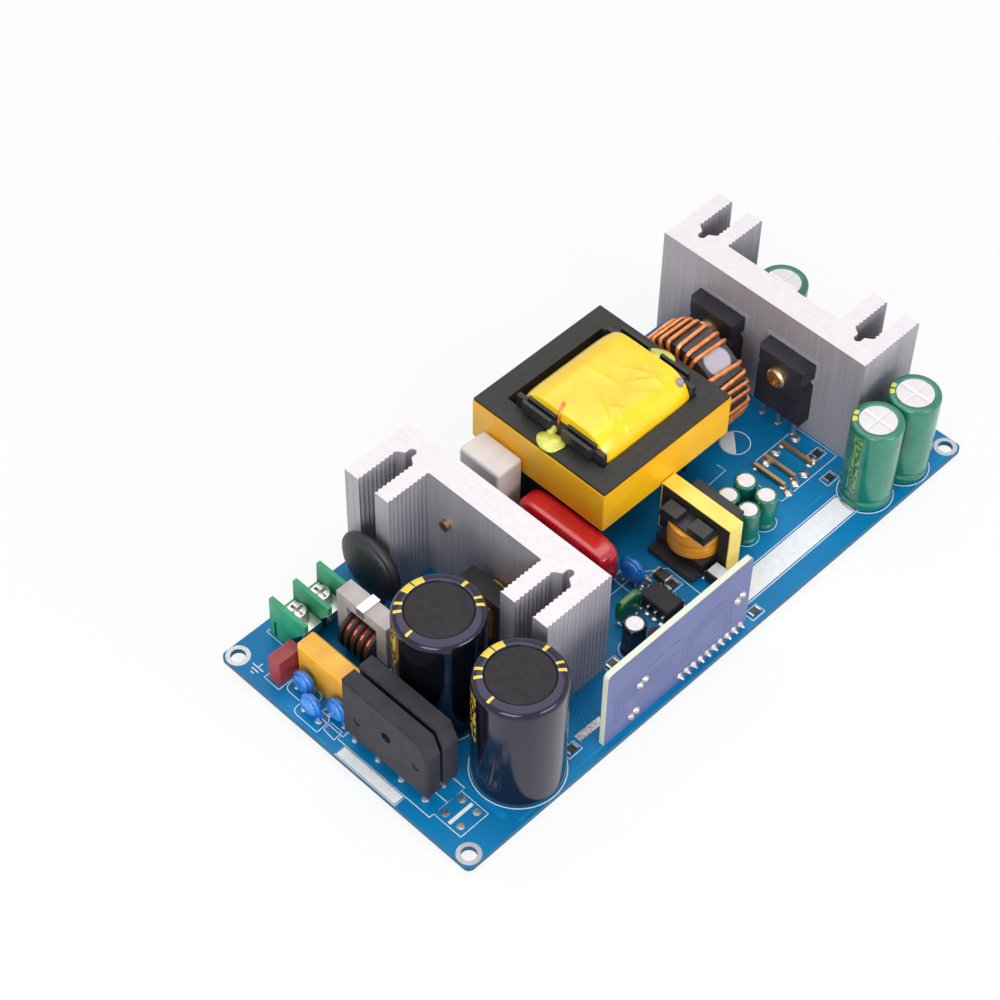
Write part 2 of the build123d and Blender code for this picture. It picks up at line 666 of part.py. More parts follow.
def main_board():
    """Rounded board with mounting holes and one hole for every lead, pin and peg."""
    board = extrude(RectangleRounded(BOARD_L, BOARD_W, BOARD_CORNER_R), BOARD_T)
    cutters = [post(x, y, -BOARD_T, 2 * BOARD_T, MOUNT_HOLE_D / 2) for x, y in mounting_hole_places()]
    for _, places, section, _, _ in lead_rows():
        cutters += [hole_through_board(x, y, section) for x, y in places]
    for x, y, _ in dip_places():
        cutters.append(hole_through_board(x, y, (DIP_LEAD_T, DIP_LEAD_W)))
    for x, y, _ in opto_places():
        cutters.append(hole_through_board(x, y, (DIP_LEAD_W, DIP_LEAD_T)))
    for x, y in header_places():
        cutters.append(hole_through_board(x, y, (HEADER_PIN, HEADER_PIN)))
    for x, y in shunt_places():
        cutters.append(hole_through_board(x, y, (SHUNT_WIRE, SHUNT_WIRE)))
    for x, y in peg_places():
        cutters.append(hole_through_board(x, y, PEG))
    for pitch, frame in terminal_frames():
        for u in pole_centres(pitch):
            width, depth = (side + 2 * LEAD_HOLE_CLEARANCE for side in TERMINAL_PIN)
            cutters.append(frame * Pos(u, -TERMINAL_PIN_BACK, 0) * Box(width, depth, 4 * BOARD_T))
    return board - cutters


def straight_leads(node):
    """All straight leads that belong to one node."""
    return group(lead(x, y, section, top, out)
                 for name, places, section, top, out in lead_rows() if name == node
                 for x, y in places)


def plate_profile():
    """Side of the terminal: upright rear, flat top, overhanging lip, sloping front."""
    return outline([(0, 0), (-PLATE_LEAN, PLATE_H), (-PLATE_L, PLATE_H),
                    (-PLATE_L, PLATE_H - PLATE_LIP), (-PLATE_FOOT, 0)])


def terminal_housing(pitch):
    """Body between tall dividing plates, bored for the screws and the pins."""
    width = TERMINAL_POLES * pitch + PLATE_T
    body = across_x(plate_profile(), 0, width)
    body -= block(0, width, -2 * PLATE_L, PLATE_L, TERMINAL_BODY_H, 2 * PLATE_H)
    for i in range(TERMINAL_POLES + 1):
        body += across_x(plate_profile(), i * pitch, i * pitch + PLATE_T)
    for u in pole_centres(pitch):
        body -= post(u, -TERMINAL_SCREW_BACK, TERMINAL_BODY_H - TERMINAL_SCREW_DEPTH - FIT_GAP,
                     TERMINAL_BODY_H, TERMINAL_SCREW_D / 2 + FIT_GAP)
        width, depth = (side + 2 * FIT_GAP for side in TERMINAL_PIN)
        body -= Pos(u, -TERMINAL_PIN_BACK, TERMINAL_BODY_H / 2) * Box(width, depth, TERMINAL_BODY_H)
    return body


def terminal_clamp(pitch):
    """Contact plate on the body with its front edge turned down over the slope."""
    length = pitch - PLATE_T - 2 * CLAMP_GAP
    z0 = TERMINAL_BODY_H
    side = outline([(-CLAMP_BACK, z0), (-CLAMP_BACK, z0 + CLAMP_T),
                    (-CLAMP_BACK - CLAMP_L, z0 + CLAMP_T),
                    (-CLAMP_BACK - CLAMP_L, z0 - CLAMP_LIP),
                    (-CLAMP_BACK - CLAMP_L + CLAMP_T, z0 - CLAMP_LIP),
                    (-CLAMP_BACK - CLAMP_L + CLAMP_T, z0)])
    plate = across_x(side, -length / 2, length / 2)
    return plate - post(0, -TERMINAL_SCREW_BACK, 0, PLATE_H, TERMINAL_SCREW_D / 2 + FIT_GAP)


def crossed_screw(shaft_d, head_d, head_h, length):
    """Pan-head screw standing on its tip side down, the head's underside at zero."""
    head = Pos(0, 0, head_h / 2) * Cylinder(head_d / 2, head_h)
    head = chamfer(head.edges().sort_by(Axis.Z)[-1], head_h * SCREW_EDGE_SHARE)
    screw = head + Pos(0, 0, -length / 2) * Cylinder(shaft_d / 2, length)
    slot = Pos(0, 0, head_h) * Box(head_d * DRIVER_SLOT_SHARE, DRIVER_SLOT_W, 2 * DRIVER_SLOT_DEPTH)
    return screw - slot - Rot(0, 0, 90) * slot


def terminal_screw():
    return crossed_screw(TERMINAL_SCREW_D, TERMINAL_HEAD_D, TERMINAL_HEAD_H, TERMINAL_SCREW_DEPTH + CLAMP_T)


def terminal_parts():
    """Housings, clamps, screws and pins of both terminals."""
    housings, clamps, screws, pins = [], [], [], []
    for pitch, frame in terminal_frames():
        housings.append(frame * terminal_housing(pitch))
        for u in pole_centres(pitch):
            clamps.append(frame * Pos(u, 0, 0) * terminal_clamp(pitch))
            screws.append(frame * Pos(u, -TERMINAL_SCREW_BACK, TERMINAL_BODY_H + CLAMP_T) * terminal_screw())
            length = TERMINAL_BODY_H + BOARD_T + SMALL_LEAD_OUT
            pins.append(frame * Pos(u, -TERMINAL_PIN_BACK, TERMINAL_BODY_H - length / 2)
                        * Box(*TERMINAL_PIN, length))
    return housings, clamps, screws, pins


def fuse():
    return cut_corners(slab(FUSE_X, FUSE_Y, TOP, (FUSE_L, FUSE_W, FUSE_H)), Axis.Z, BOX_EDGE)


def x_capacitor():
    box = slab(XCAP_X, XCAP_Y, TOP, (XCAP_W, XCAP_L, XCAP_H))
    top_edges = box.faces().sort_by(Axis.Z)[-1].edges().filter_by(Axis.Y)
    return chamfer(box.edges().filter_by(Axis.Z) + top_edges, BOX_EDGE)


def ceramic_disc(radius):
    """Dipped disc: two shallow domes on a narrow rim, its axis along X."""
    rim = DISC_T * DISC_RIM_SHARE
    shoulder = (radius * DISC_DOME_R_SHARE, DISC_T * DISC_DOME_T_SHARE)
    arc = ThreePointArc((0, DISC_T / 2), shoulder, (radius, rim / 2))
    edge = Line((radius, rim / 2), (radius, 0))
    half = make_face([arc, edge, Line((radius, 0), (0, 0)), Line((0, 0), (0, DISC_T / 2))])
    half = revolve(Plane.XZ * half, Axis.Z)
    return Rot(0, 90, 0) * (half + mirror(half, Plane.XY))


def ceramic_discs():
    return group(Pos(x, y, TOP + DISC_Z + r) * ceramic_disc(r) for x, y, r in disc_places())


def bridge_rectifier(x):
    """Flat package with one cut upper corner, a screw hole and chamfered face edges."""
    y0, y1 = BRIDGE_Y0, BRIDGE_Y0 + BRIDGE_L
    z0, z1 = TOP + BRIDGE_Z, TOP + BRIDGE_Z + BRIDGE_H
    side = outline([(y0, z0), (y1, z0), (y1, z1), (y0 + BRIDGE_CUT_Y, z1), (y0, z1 - BRIDGE_CUT_Z)])
    body = across_x(side, x - BRIDGE_T / 2, x + BRIDGE_T / 2)
    body = chamfer(body.faces().sort_by(Axis.X)[0].edges(), BRIDGE_EDGE)
    hole_y, hole_z = y0 + BRIDGE_HOLE_FROM_END, z0 + BRIDGE_HOLE_UP
    body -= rod_x(x - BRIDGE_T, x + BRIDGE_T, hole_y, hole_z, BRIDGE_HOLE_D / 2)
    face = x - BRIDGE_T / 2
    for dy, dz in BRIDGE_MARKS_FROM_HOLE:
        body -= rod_x(face - BRIDGE_T, face + BRIDGE_MARK_DEPTH, hole_y + dy, hole_z + dz, BRIDGE_MARK_D / 2)
    return body


def choke_core():
    """Rectangular ferrite frame standing across the bobbin."""
    z0, z1 = TOP + CHOKE_Z, TOP + CHOKE_TOP
    frame = block(CHOKE_X - CHOKE_T / 2, CHOKE_X + CHOKE_T / 2,
                  CHOKE_Y - CHOKE_L / 2, CHOKE_Y + CHOKE_L / 2, z0, z1)
    return frame - block(CHOKE_X - CHOKE_T, CHOKE_X + CHOKE_T,
                         CHOKE_Y - CHOKE_L / 2 + CHOKE_BAR, CHOKE_Y + CHOKE_L / 2 - CHOKE_BAR,
                         z0 + CHOKE_BAR, z1 - CHOKE_BAR)


def choke_window():
    """Length of the frame's window and height of its lower bar's middle."""
    return CHOKE_L - 2 * CHOKE_BAR, TOP + CHOKE_Z + CHOKE_BAR / 2


def along_y(y, length, z, radius):
    """Cylinder along Y, centred on the choke's lower bar."""
    return Pos(CHOKE_X, y, z) * Rot(90, 0, 0) * Cylinder(radius, length)


def choke_tube(length):
    """Square tube that the lower bar passes through, as its hole and its outside."""
    _, z = choke_window()
    hole = (CHOKE_T + 2 * FIT_GAP, length, CHOKE_BAR + 2 * FIT_GAP)
    shell = (hole[0] + 2 * CHOKE_TUBE_WALL, length, hole[2] + 2 * CHOKE_TUBE_WALL)
    return Pos(CHOKE_X, CHOKE_Y, z) * Box(*hole), Pos(CHOKE_X, CHOKE_Y, z) * Box(*shell)


def choke_flange_places():
    length, _ = choke_window()
    span = length - 2 * FIT_GAP - CHOKE_FLANGE_T
    return [y for _, y in row(CHOKE_X, CHOKE_Y, span / (CHOKE_FLANGE_COUNT - 1), CHOKE_FLANGE_COUNT, "y")]


def choke_bobbin():
    """Tube on the lower bar with round flanges that part the winding into sections."""
    length, z = choke_window()
    hole, shell = choke_tube(length - 2 * FIT_GAP)
    bobbin = shell
    for y in choke_flange_places():
        bobbin += along_y(y, CHOKE_FLANGE_T, z, CHOKE_FLANGE_R)
    return bobbin - hole


def choke_windings():
    """One wound section between each pair of flanges."""
    _, z = choke_window()
    _, shell = choke_tube(CHOKE_L)
    places = choke_flange_places()
    pieces = []
    for y0, y1 in zip(places, places[1:]):
        pieces.append(along_y((y0 + y1) / 2, y1 - y0 - CHOKE_FLANGE_T, z, CHOKE_WINDING_R) - shell)
    return group(pieces)


def choke_clip():
    """Spring strip over the top bar with both ends turned down."""
    z = TOP + CHOKE_TOP
    half = CHOKE_T / 2
    strip = outline([(-half - CLIP_T, z - CLIP_DROP), (-half - CLIP_T, z + CLIP_T),
                     (half + CLIP_T, z + CLIP_T), (half + CLIP_T, z - CLIP_DROP),
                     (half, z - CLIP_DROP), (half, z), (-half, z), (-half, z - CLIP_DROP)])
    clip = extrude(Plane.XZ * strip, CLIP_W / 2, both=True)
    return Pos(CHOKE_X, CHOKE_Y, 0) * clip


def thermistor():
    """Dipped disc with rounded rims."""
    disc = Cylinder(NTC_R, NTC_T)
    disc = fillet(disc.edges().filter_by(GeomType.CIRCLE), NTC_EDGE)
    return Pos(NTC_X, NTC_Y, TOP + NTC_Z + NTC_R) * Rot(0, 90, 0) * disc


def can(radius, height, shoulder, inset, drop):
    """Sleeved can: rounded shoulder, then a step down to the flat top."""
    side = outline([(0, 0), (radius, 0), (radius, height), (radius - inset, height),
                    (radius - inset, height - drop), (0, height - drop)])
    corner = side.vertices().sort_by(Axis.Y)[-2:].sort_by(Axis.X)[-1]
    return revolve(Plane.XZ * fillet(corner, shoulder), Axis.Z)


def bulk_capacitor(y):
    body = can(BULK_D / 2, BULK_H, BULK_SHOULDER_R, BULK_TOP_INSET, BULK_TOP_DROP)
    return Pos(BULK_X, y, TOP) * body


def can_top(x, y, height, drop, radius, thickness):
    """Thin disc lying in the step of a can."""
    z = TOP + height - drop
    return post(x, y, z, z + thickness, radius)


def sink_ribs(v0, v1, u, inward):
    """Fine grooves along one side of a fin, from depth v0 to depth v1."""
    count = max(1, round(abs(v1 - v0) / RIB_PITCH))
    step = (v1 - v0) / count
    points = []
    for i in range(count):
        points.append((v0 + i * step, u))
        points.append((v0 + (i + 0.5) * step, u + inward * RIB_DEPTH))
    return points + [(v1, u)]


def sink_half_profile():
    """Outline of one half of the extrusion from the flat face round to the channel's floor."""
    outer = SINK_W / 2
    slot_outer = outer - FIN_T
    slot_inner = slot_outer - SLOT_W
    slot_mid = (slot_outer + slot_inner) / 2
    key = KEYHOLE_D / 2
    key_v = SLOT_BOTTOM - SLOT_TAPER
    key_end = key_v - KEYHOLE_DEPTH
    return ([(0, outer)] + sink_ribs(0, SINK_DEPTH, outer, -1)[1:]
            + sink_ribs(SINK_DEPTH, SLOT_BOTTOM, slot_outer, 1)
            + [(key_v, slot_mid + key), (key_end + KEYHOLE_EDGE, slot_mid + key),
               (key_end, slot_mid + key - KEYHOLE_EDGE), (key_end, slot_mid - key + KEYHOLE_EDGE),
               (key_end + KEYHOLE_EDGE, slot_mid - key), (key_v, slot_mid - key)]
            + sink_ribs(SLOT_BOTTOM, SINK_DEPTH, slot_inner, -1)
            + sink_ribs(SINK_DEPTH, SINK_WALL, CHANNEL_W / 2, 1))


def heatsink(screw_ys, screw_z):
    """Extruded heatsink, flat face at x = 0 and fins towards +X, with pegs and screw holes."""
    half = sink_half_profile()
    section = outline(half + [(v, -u) for v, u in reversed(half)])
    body = Pos(0, 0, TOP) * extrude(section, SINK_H)
    for y in screw_ys:
        radius = SCREW_D / 2 + SCREW_HOLE_CLEARANCE
        body -= rod_x(-1, SINK_WALL + 1, y, screw_z, radius)
    for u in (-1, 1):
        body += slab(SINK_WALL / 2, u * (SINK_W / 2 - FIN_T), -LEAD_OUT, (*PEG, LEAD_OUT + TOP))
    return body


def peg_places():
    """Board places of the pegs under both heatsinks."""
    offset = SINK_W / 2 - FIN_T
    front = row(FRONT_FACE_X - SINK_WALL / 2, FRONT_SINK_Y, 2 * offset, 2, "y")
    return front + row(REAR_FACE_X + SINK_WALL / 2, REAR_SINK_Y, 2 * offset, 2, "y")


def front_heatsink():
    local = [-(y - FRONT_SINK_Y) for y in SWITCH_YS]
    body = heatsink(local, TOP + SWITCH_Z + POWER_H - POWER_HOLE_FROM_TOP)
    return Pos(FRONT_FACE_X, FRONT_SINK_Y, 0) * Rot(0, 0, 180) * body


def rear_heatsink():
    local = [y - REAR_SINK_Y for y in RECTIFIER_YS]
    return Pos(REAR_FACE_X, REAR_SINK_Y, 0) * heatsink(local, TOP + POWER_Z + POWER_H - POWER_HOLE_FROM_TOP)


def power_body():
    """Three-lead package: back at x = 0, front at x = -POWER_T, base at z = 0."""
    body = block(-POWER_T, 0, -POWER_W / 2, POWER_W / 2, 0, POWER_H)
    front = body.faces().sort_by(Axis.X)[0].edges()
    body = chamfer(front, POWER_EDGE)
    hole_z = POWER_H - POWER_HOLE_FROM_TOP
    for side in (-1, 1):
        body -= rod_x(-POWER_T - 1, 1, side * POWER_W / 2, hole_z, POWER_NOTCH_R)
    return body - rod_x(-POWER_T - 1, 1, 0, hole_z, POWER_HOLE_D / 2)


def power_pad():
    """Insulating sheet behind the package, a little larger than it."""
    half_w = POWER_W / 2 + PAD_MARGIN
    pad = block(-PAD_T, 0, -half_w, half_w, -PAD_MARGIN, POWER_H + PAD_MARGIN)
    return pad - rod_x(-1, 1, 0, POWER_H - POWER_HOLE_FROM_TOP, POWER_HOLE_D / 2)


def power_screw():
    """Screw through package, pad and heatsink, its head against the package's front."""
    screw = crossed_screw(SCREW_D, SCREW_HEAD_D, SCREW_HEAD_H, POWER_T + PAD_T + SINK_WALL + SCREW_TIP)
    return Pos(-POWER_T - PAD_T, 0, POWER_H - POWER_HOLE_FROM_TOP) * Rot(0, -90, 0) * screw


def power_places(part, back):
    """One copy for each package: two on the front heatsink, then two on the rear one."""
    front = [Pos(FRONT_FACE_X + back, y, TOP + SWITCH_Z) * Rot(0, 0, 180) * part for y in SWITCH_YS]
    rear = [Pos(REAR_FACE_X - back, y, TOP + POWER_Z) * part for y in RECTIFIER_YS]
    return front, rear


def driver_core():
    """Small ferrite frame with a centre leg, standing in the front heatsink's channel."""
    z0, z1 = TOP + DRIVER_Z, TOP + DRIVER_Z + DRIVER_H
    frame = block(DRIVER_X - DRIVER_W / 2, DRIVER_X + DRIVER_W / 2,
                  DRIVER_Y - DRIVER_L / 2, DRIVER_Y + DRIVER_L / 2, z0, z1)
    for side in (-1, 1):
        inner, outer = DRIVER_LEG / 2, DRIVER_L / 2 - DRIVER_LEG / 2
        ys = sorted((DRIVER_Y + side * inner, DRIVER_Y + side * outer))
        frame -= block(DRIVER_X - DRIVER_W, DRIVER_X + DRIVER_W, *ys, z0 + DRIVER_LEG, z1 - DRIVER_LEG)
    return frame


def driver_coil():
    """Taped coil round the centre leg."""
    z0, z1 = TOP + DRIVER_Z + DRIVER_LEG, TOP + DRIVER_Z + DRIVER_H - DRIVER_LEG
    coil = post(DRIVER_X, DRIVER_Y, z0, z1, DRIVER_L / 2 - DRIVER_LEG / 2 - DRIVER_FLANGE_T)
    hole = (DRIVER_W + 2 * FIT_GAP, DRIVER_LEG + 2 * FIT_GAP, z1 - z0)
    return coil - slab(DRIVER_X, DRIVER_Y, z0, hole)


def box_film_capacitor():
    box = slab(BOXCAP_X, BOXCAP_Y, TOP, (BOXCAP_W, BOXCAP_L, BOXCAP_H))
    upper = box.faces().sort_by(Axis.Z)[-1].edges()
    return fillet(box.edges().filter_by(Axis.Z) + upper, BOXCAP_EDGE)


def red_film_capacitor():
    """Dipped block with every edge rounded."""
    box = slab(REDCAP_X, REDCAP_Y, TOP + REDCAP_Z, (REDCAP_W, REDCAP_L, REDCAP_H))
    return fillet(box.edges(), REDCAP_EDGE)


def transformer_core_half(side):
    """E-shaped half: a back bar, two outer legs and the centre leg, meeting its twin at mid-length."""
    half_l, half_w, leg = CORE_L / 2, CORE_W / 2, CORE_CENTRE_LEG / 2
    depth = half_l - CORE_BACK
    shape = outline([(0, -half_w), (half_l, -half_w), (half_l, half_w), (0, half_w),
                     (0, half_w - CORE_LEG), (depth, half_w - CORE_LEG), (depth, leg), (0, leg),
                     (0, -leg), (depth, -leg), (depth, CORE_LEG - half_w), (0, CORE_LEG - half_w)])
    turn = 0 if side > 0 else 180
    place = Pos(TRANSFORMER_X, TRANSFORMER_Y, TOP + CORE_Z) * Rot(0, 0, turn)
    return place * extrude(shape, CORE_T)


def transformer_tape():
    """Band of tape round the core's edge."""
    outer = RectangleRounded(CORE_L + 2 * TAPE_T, CORE_W + 2 * TAPE_T, TAPE_T)
    ring = extrude(outer - Rectangle(CORE_L, CORE_W), CORE_T - 2 * TAPE_SHY)
    return Pos(TRANSFORMER_X, TRANSFORMER_Y, TOP + CORE_Z + TAPE_SHY) * ring


def transformer_tube():
    """Hole and outside of the bobbin's tube, as (Y, Z) rectangles about the centre leg."""
    hole = Rectangle(CORE_CENTRE_LEG + 2 * FIT_GAP, CORE_T + 2 * FIT_GAP)
    shell = Rectangle(CORE_CENTRE_LEG + 2 * (FIT_GAP + BOBBIN_WALL), CORE_T + 2 * (FIT_GAP + BOBBIN_WALL))
    return hole, shell


def coil_half_length():
    return WINDOW_L / 2 - BOBBIN_GAP - FLANGE_T


def transformer_bobbin():
    """Tube on the centre leg, an end flange each way, wire lugs above and pin rails below the core."""
    hole, shell = transformer_tube()
    inner = coil_half_length()
    body = across_x(shell, -inner - FLANGE_T, inner + FLANGE_T)
    flange_top = CORE_T / 2 + FLANGE_RISE
    rail_top = -CORE_T / 2 - FIT_GAP
    rail_bottom = RAIL_Z - CORE_Z - CORE_T / 2
    y0, y1 = COIL_OFFSET_Y - COIL_W / 2, COIL_OFFSET_Y + COIL_W / 2
    for side in (-1, 1):
        flange = sorted((side * inner, side * (inner + FLANGE_T)))
        rail = sorted((side * inner, side * (inner + RAIL_W)))
        lug = sorted((side * inner, side * (inner + LUG_T)))
        body += block(*flange, y0, y1, rail_bottom, flange_top)
        body += block(*rail, COIL_OFFSET_Y - RAIL_L / 2, COIL_OFFSET_Y + RAIL_L / 2, rail_bottom, rail_top)
        for _, y in row(0, COIL_OFFSET_Y, LUG_PITCH, 2, "y"):
            z0 = CORE_T / 2 + LUG_Z
            body += block(*lug, y - LUG_W / 2, y + LUG_W / 2, z0, z0 + LUG_H)
            groove_x = side * (inner + LUG_T / 2)
            body -= block(groove_x - LUG_GROOVE_W / 2, groove_x + LUG_GROOVE_W / 2,
                          y - LUG_W, y + LUG_W, z0 + LUG_H - LUG_GROOVE_DEPTH, z0 + 2 * LUG_H)
    body -= across_x(hole, -WINDOW_L, WINDOW_L)
    return Pos(TRANSFORMER_X, TRANSFORMER_Y, CORE_MID_Z) * body


def transformer_coil():
    """Taped winding: rounded block between the flanges, hollow round the tube."""
    _, shell = transformer_tube()
    half = coil_half_length()
    outer = Pos(COIL_OFFSET_Y, 0, 0) * RectangleRounded(COIL_W, COIL_H, COIL_CORNER_R)
    coil = across_x(outer, -half, half)
    ends = coil.faces().sort_by(Axis.X)
    coil = chamfer(ends[0].edges() + ends[-1].edges(), COIL_EDGE)
    coil -= across_x(shell, -half, half)
    return Pos(TRANSFORMER_X, TRANSFORMER_Y, CORE_MID_Z) * coil


def transformer_glue():
    """Two flat dabs of glue on the core's back bars, between the wire lugs."""
    dab = extrude(Ellipse(GLUE_W / 2, GLUE_L / 2), GLUE_H)
    dab = chamfer(dab.edges().sort_by(Axis.Z)[-1], GLUE_EDGE)
    places = row(TRANSFORMER_X, TRANSFORMER_Y + COIL_OFFSET_Y, CORE_L - CORE_BACK, 2)
    return group(Pos(x, y, TOP + CORE_Z + CORE_T) * dab for x, y in places)


def toroid_core():
    """Ferrite ring with its axis along X."""
    ring = Cylinder(TOROID_OUTER_D / 2, TOROID_CORE_W) - Cylinder(TOROID_INNER_D / 2, TOROID_CORE_W)
    return Pos(TOROID_X, TOROID_Y, TOROID_Z) * Rot(0, 90, 0) * ring


def toroid_turn():
    """One turn of wire round the ring's section: a frame with cut corners, drawn above the axis."""
    r0, r1 = TOROID_INNER_D / 2 - TOROID_FIT, TOROID_OUTER_D / 2 + TOROID_FIT
    half = TOROID_CORE_W / 2 + TOROID_FIT
    wire = TOROID_WIRE
    outer = Pos(0, (r0 + r1) / 2, 0) * Rectangle(2 * (half + wire), r1 - r0 + 2 * wire)
    outer = chamfer(outer.vertices(), wire * TOROID_BEND_SHARE)
    inner = Pos(0, (r0 + r1) / 2, 0) * Rectangle(2 * half, r1 - r0)
    return extrude(Plane.XZ * (outer - inner), wire / 2, both=True)


def toroid_winding():
    """Turns spread evenly round the ring, with a bare stretch off its top towards the near edge."""
    turn = toroid_turn()
    step = (360 - TOROID_GAP_ANGLE) / TOROID_TURNS
    first = TOROID_GAP_LEAN_ANGLE + 180 - step * (TOROID_TURNS - 1) / 2
    centre = Pos(TOROID_X, TOROID_Y, TOROID_Z)
    return group(centre * Rot(first + i * step, 0, 0) * turn for i in range(TOROID_TURNS))


def output_capacitor(x, y):
    """Can with a crimp bead near its foot and a rounded shoulder."""
    radius = OUTCAP_D / 2
    side = outline([(0, 0), (radius, 0), (radius, OUTCAP_BEAD_UP - OUTCAP_BEAD),
                    (radius - OUTCAP_BEAD, OUTCAP_BEAD_UP), (radius, OUTCAP_BEAD_UP + OUTCAP_BEAD),
                    (radius, OUTCAP_H), (radius - OUTCAP_INSET, OUTCAP_H),
                    (radius - OUTCAP_INSET, OUTCAP_H - OUTCAP_DROP), (0, OUTCAP_H - OUTCAP_DROP)])
    corner = side.vertices().sort_by(Axis.Y)[-2:].sort_by(Axis.X)[-1]
    return Pos(x, y, TOP) * revolve(Plane.XZ * fillet(corner, OUTCAP_SHOULDER_R), Axis.Z)


def small_capacitors():
    body = can(SMALLCAP_D / 2, SMALLCAP_H, SMALLCAP_SHOULDER_R, SMALLCAP_INSET, SMALLCAP_DROP)
    return group(Pos(x, y, TOP) * body for x, y in small_capacitor_places())


def capacitor_tops():
    """Bare metal tops of the output and small cans."""
    large_r = OUTCAP_D / 2 - OUTCAP_INSET - FIT_GAP
    small_r = SMALLCAP_D / 2 - SMALLCAP_INSET - FIT_GAP
    large = [can_top(x, y, OUTCAP_H, OUTCAP_DROP, large_r, OUTCAP_DROP / 2)
             for x, y in output_capacitor_places()]
    small = [can_top(x, y, SMALLCAP_H, SMALLCAP_DROP, small_r, SMALLCAP_DROP / 2)
             for x, y in small_capacitor_places()]
    return group(large + small)


def current_shunts():
    """Staples of thick wire, both feet through the board."""
    y0 = NEAR_EDGE + SHUNT_FROM_NEAR
    half = SHUNT_WIRE / 2
    z1 = TOP + SHUNT_Z + SHUNT_WIRE
    staple = outline([(y0 - half, -SMALL_LEAD_OUT), (y0 - half, z1), (y0 + SHUNT_L + half, z1),
                      (y0 + SHUNT_L + half, -SMALL_LEAD_OUT), (y0 + SHUNT_L - half, -SMALL_LEAD_OUT),
                      (y0 + SHUNT_L - half, z1 - SHUNT_WIRE), (y0 + half, z1 - SHUNT_WIRE),
                      (y0 + half, -SMALL_LEAD_OUT)])
    return group(across_x(staple, REAR_FACE_X - dx - half, REAR_FACE_X - dx + half)
                 for dx in SHUNTS_FROM_REAR_SINK)


def chip_parts():
    """Surface-mounted resistors and one diode."""
    places = [(FRONT_FACE_X + dx, NEAR_EDGE + dy) for dx, dy in CHIPS_FROM_FRONT_SINK]
    places += [(REAR_FACE_X + dx, NEAR_EDGE + dy) for dx, dy in CHIPS_FROM_REAR_SINK]
    chips = [slab(x, y, TOP, (*CHIP, CHIP_H)) for x, y in places]
    diode = slab(FRONT_FACE_X + DIODE_FROM_SINK, NEAR_EDGE + DIODE_FROM_NEAR, TOP, DIODE)
    return group(chips + [diode])


def auxiliary_core():
    """Two E-shaped halves, one above the other, with a centre leg."""
    half_l, half_h, leg = AUX_L / 2 - AUX_TAPE_T, AUX_H / 2 - AUX_TAPE_T, AUX_CENTRE_LEG / 2
    depth = half_h - AUX_BAR
    shape = outline([(-half_l, 0), (-half_l, half_h), (half_l, half_h), (half_l, 0),
                     (half_l - AUX_LEG, 0), (half_l - AUX_LEG, depth), (leg, depth), (leg, 0),
                     (-leg, 0), (-leg, depth), (AUX_LEG - half_l, depth), (AUX_LEG - half_l, 0)])
    upper = across_x(shape, -AUX_T / 2, AUX_T / 2)
    place = Pos(AUX_X, AUX_Y, TOP + AUX_Z + AUX_H / 2)
    return group([place * upper, place * Rot(180, 0, 0) * upper])


def auxiliary_tape():
    """Band of tape round the upright core's edge."""
    ring = Rectangle(AUX_L, AUX_H) - Rectangle(AUX_L - 2 * AUX_TAPE_T, AUX_H - 2 * AUX_TAPE_T)
    return Pos(AUX_X, AUX_Y, TOP + AUX_Z + AUX_H / 2) * across_x(ring, -AUX_T / 2, AUX_T / 2)


def auxiliary_window():
    """Bottom and top of the core's windows."""
    z0 = TOP + AUX_Z + AUX_TAPE_T + AUX_BAR
    return z0 + FIT_GAP, z0 + AUX_H - 2 * (AUX_TAPE_T + AUX_BAR) - FIT_GAP


def auxiliary_tube():
    """Hole and outside of the tube round the centre leg."""
    z0, z1 = auxiliary_window()
    hole = (AUX_T + 2 * FIT_GAP, AUX_CENTRE_LEG + 2 * FIT_GAP, z1 - z0)
    shell = (hole[0] + 2 * AUX_TUBE_WALL, hole[1] + 2 * AUX_TUBE_WALL, z1 - z0)
    return slab(AUX_X, AUX_Y, z0, hole), slab(AUX_X, AUX_Y, z0, shell)


def auxiliary_bobbin():
    """Upright tube, two flanges, wire lugs along one side and stepped pin rails under the lower flange."""
    hole, body = auxiliary_tube()
    z0, z1 = auxiliary_window()
    flange = (AUX_FLANGE_W, AUX_FLANGE_L, AUX_FLANGE_T)
    body += slab(AUX_X, AUX_Y, z0, flange) + slab(AUX_X, AUX_Y, z1 - AUX_FLANGE_T, flange)
    core_side = AUX_T / 2 + FIT_GAP
    span = (AUX_Y - AUX_RAIL_L / 2, AUX_Y + AUX_RAIL_L / 2)
    for x, y in row(AUX_X - (AUX_FLANGE_W - AUX_LUG[0]) / 2, AUX_Y, AUX_LUG_PITCH, 2, "y"):
        body += slab(x, y, z1, AUX_LUG)
    for side in (-1, 1):
        rail = sorted((AUX_X + side * core_side, AUX_X + side * AUX_FLANGE_W / 2))
        body += block(*rail, *span, TOP + AUX_RAIL_Z, z0)
    foot = (AUX_X - AUX_FLANGE_W / 2 - AUX_FOOT_W, AUX_X - core_side)
    return body + block(*foot, *span, TOP + AUX_RAIL_Z, TOP + AUX_RAIL_Z + AUX_FOOT_H) - hole


def auxiliary_coil():
    """Oval taped coil between the flanges, fuller on the lugs' side."""
    _, shell = auxiliary_tube()
    z0, z1 = auxiliary_window()
    coil = extrude(Ellipse(AUX_COIL_RX, AUX_COIL_RY), z1 - z0 - 2 * AUX_FLANGE_T)
    return Pos(AUX_X - AUX_COIL_FORWARD, AUX_Y, z0 + AUX_FLANGE_T) * coil - shell


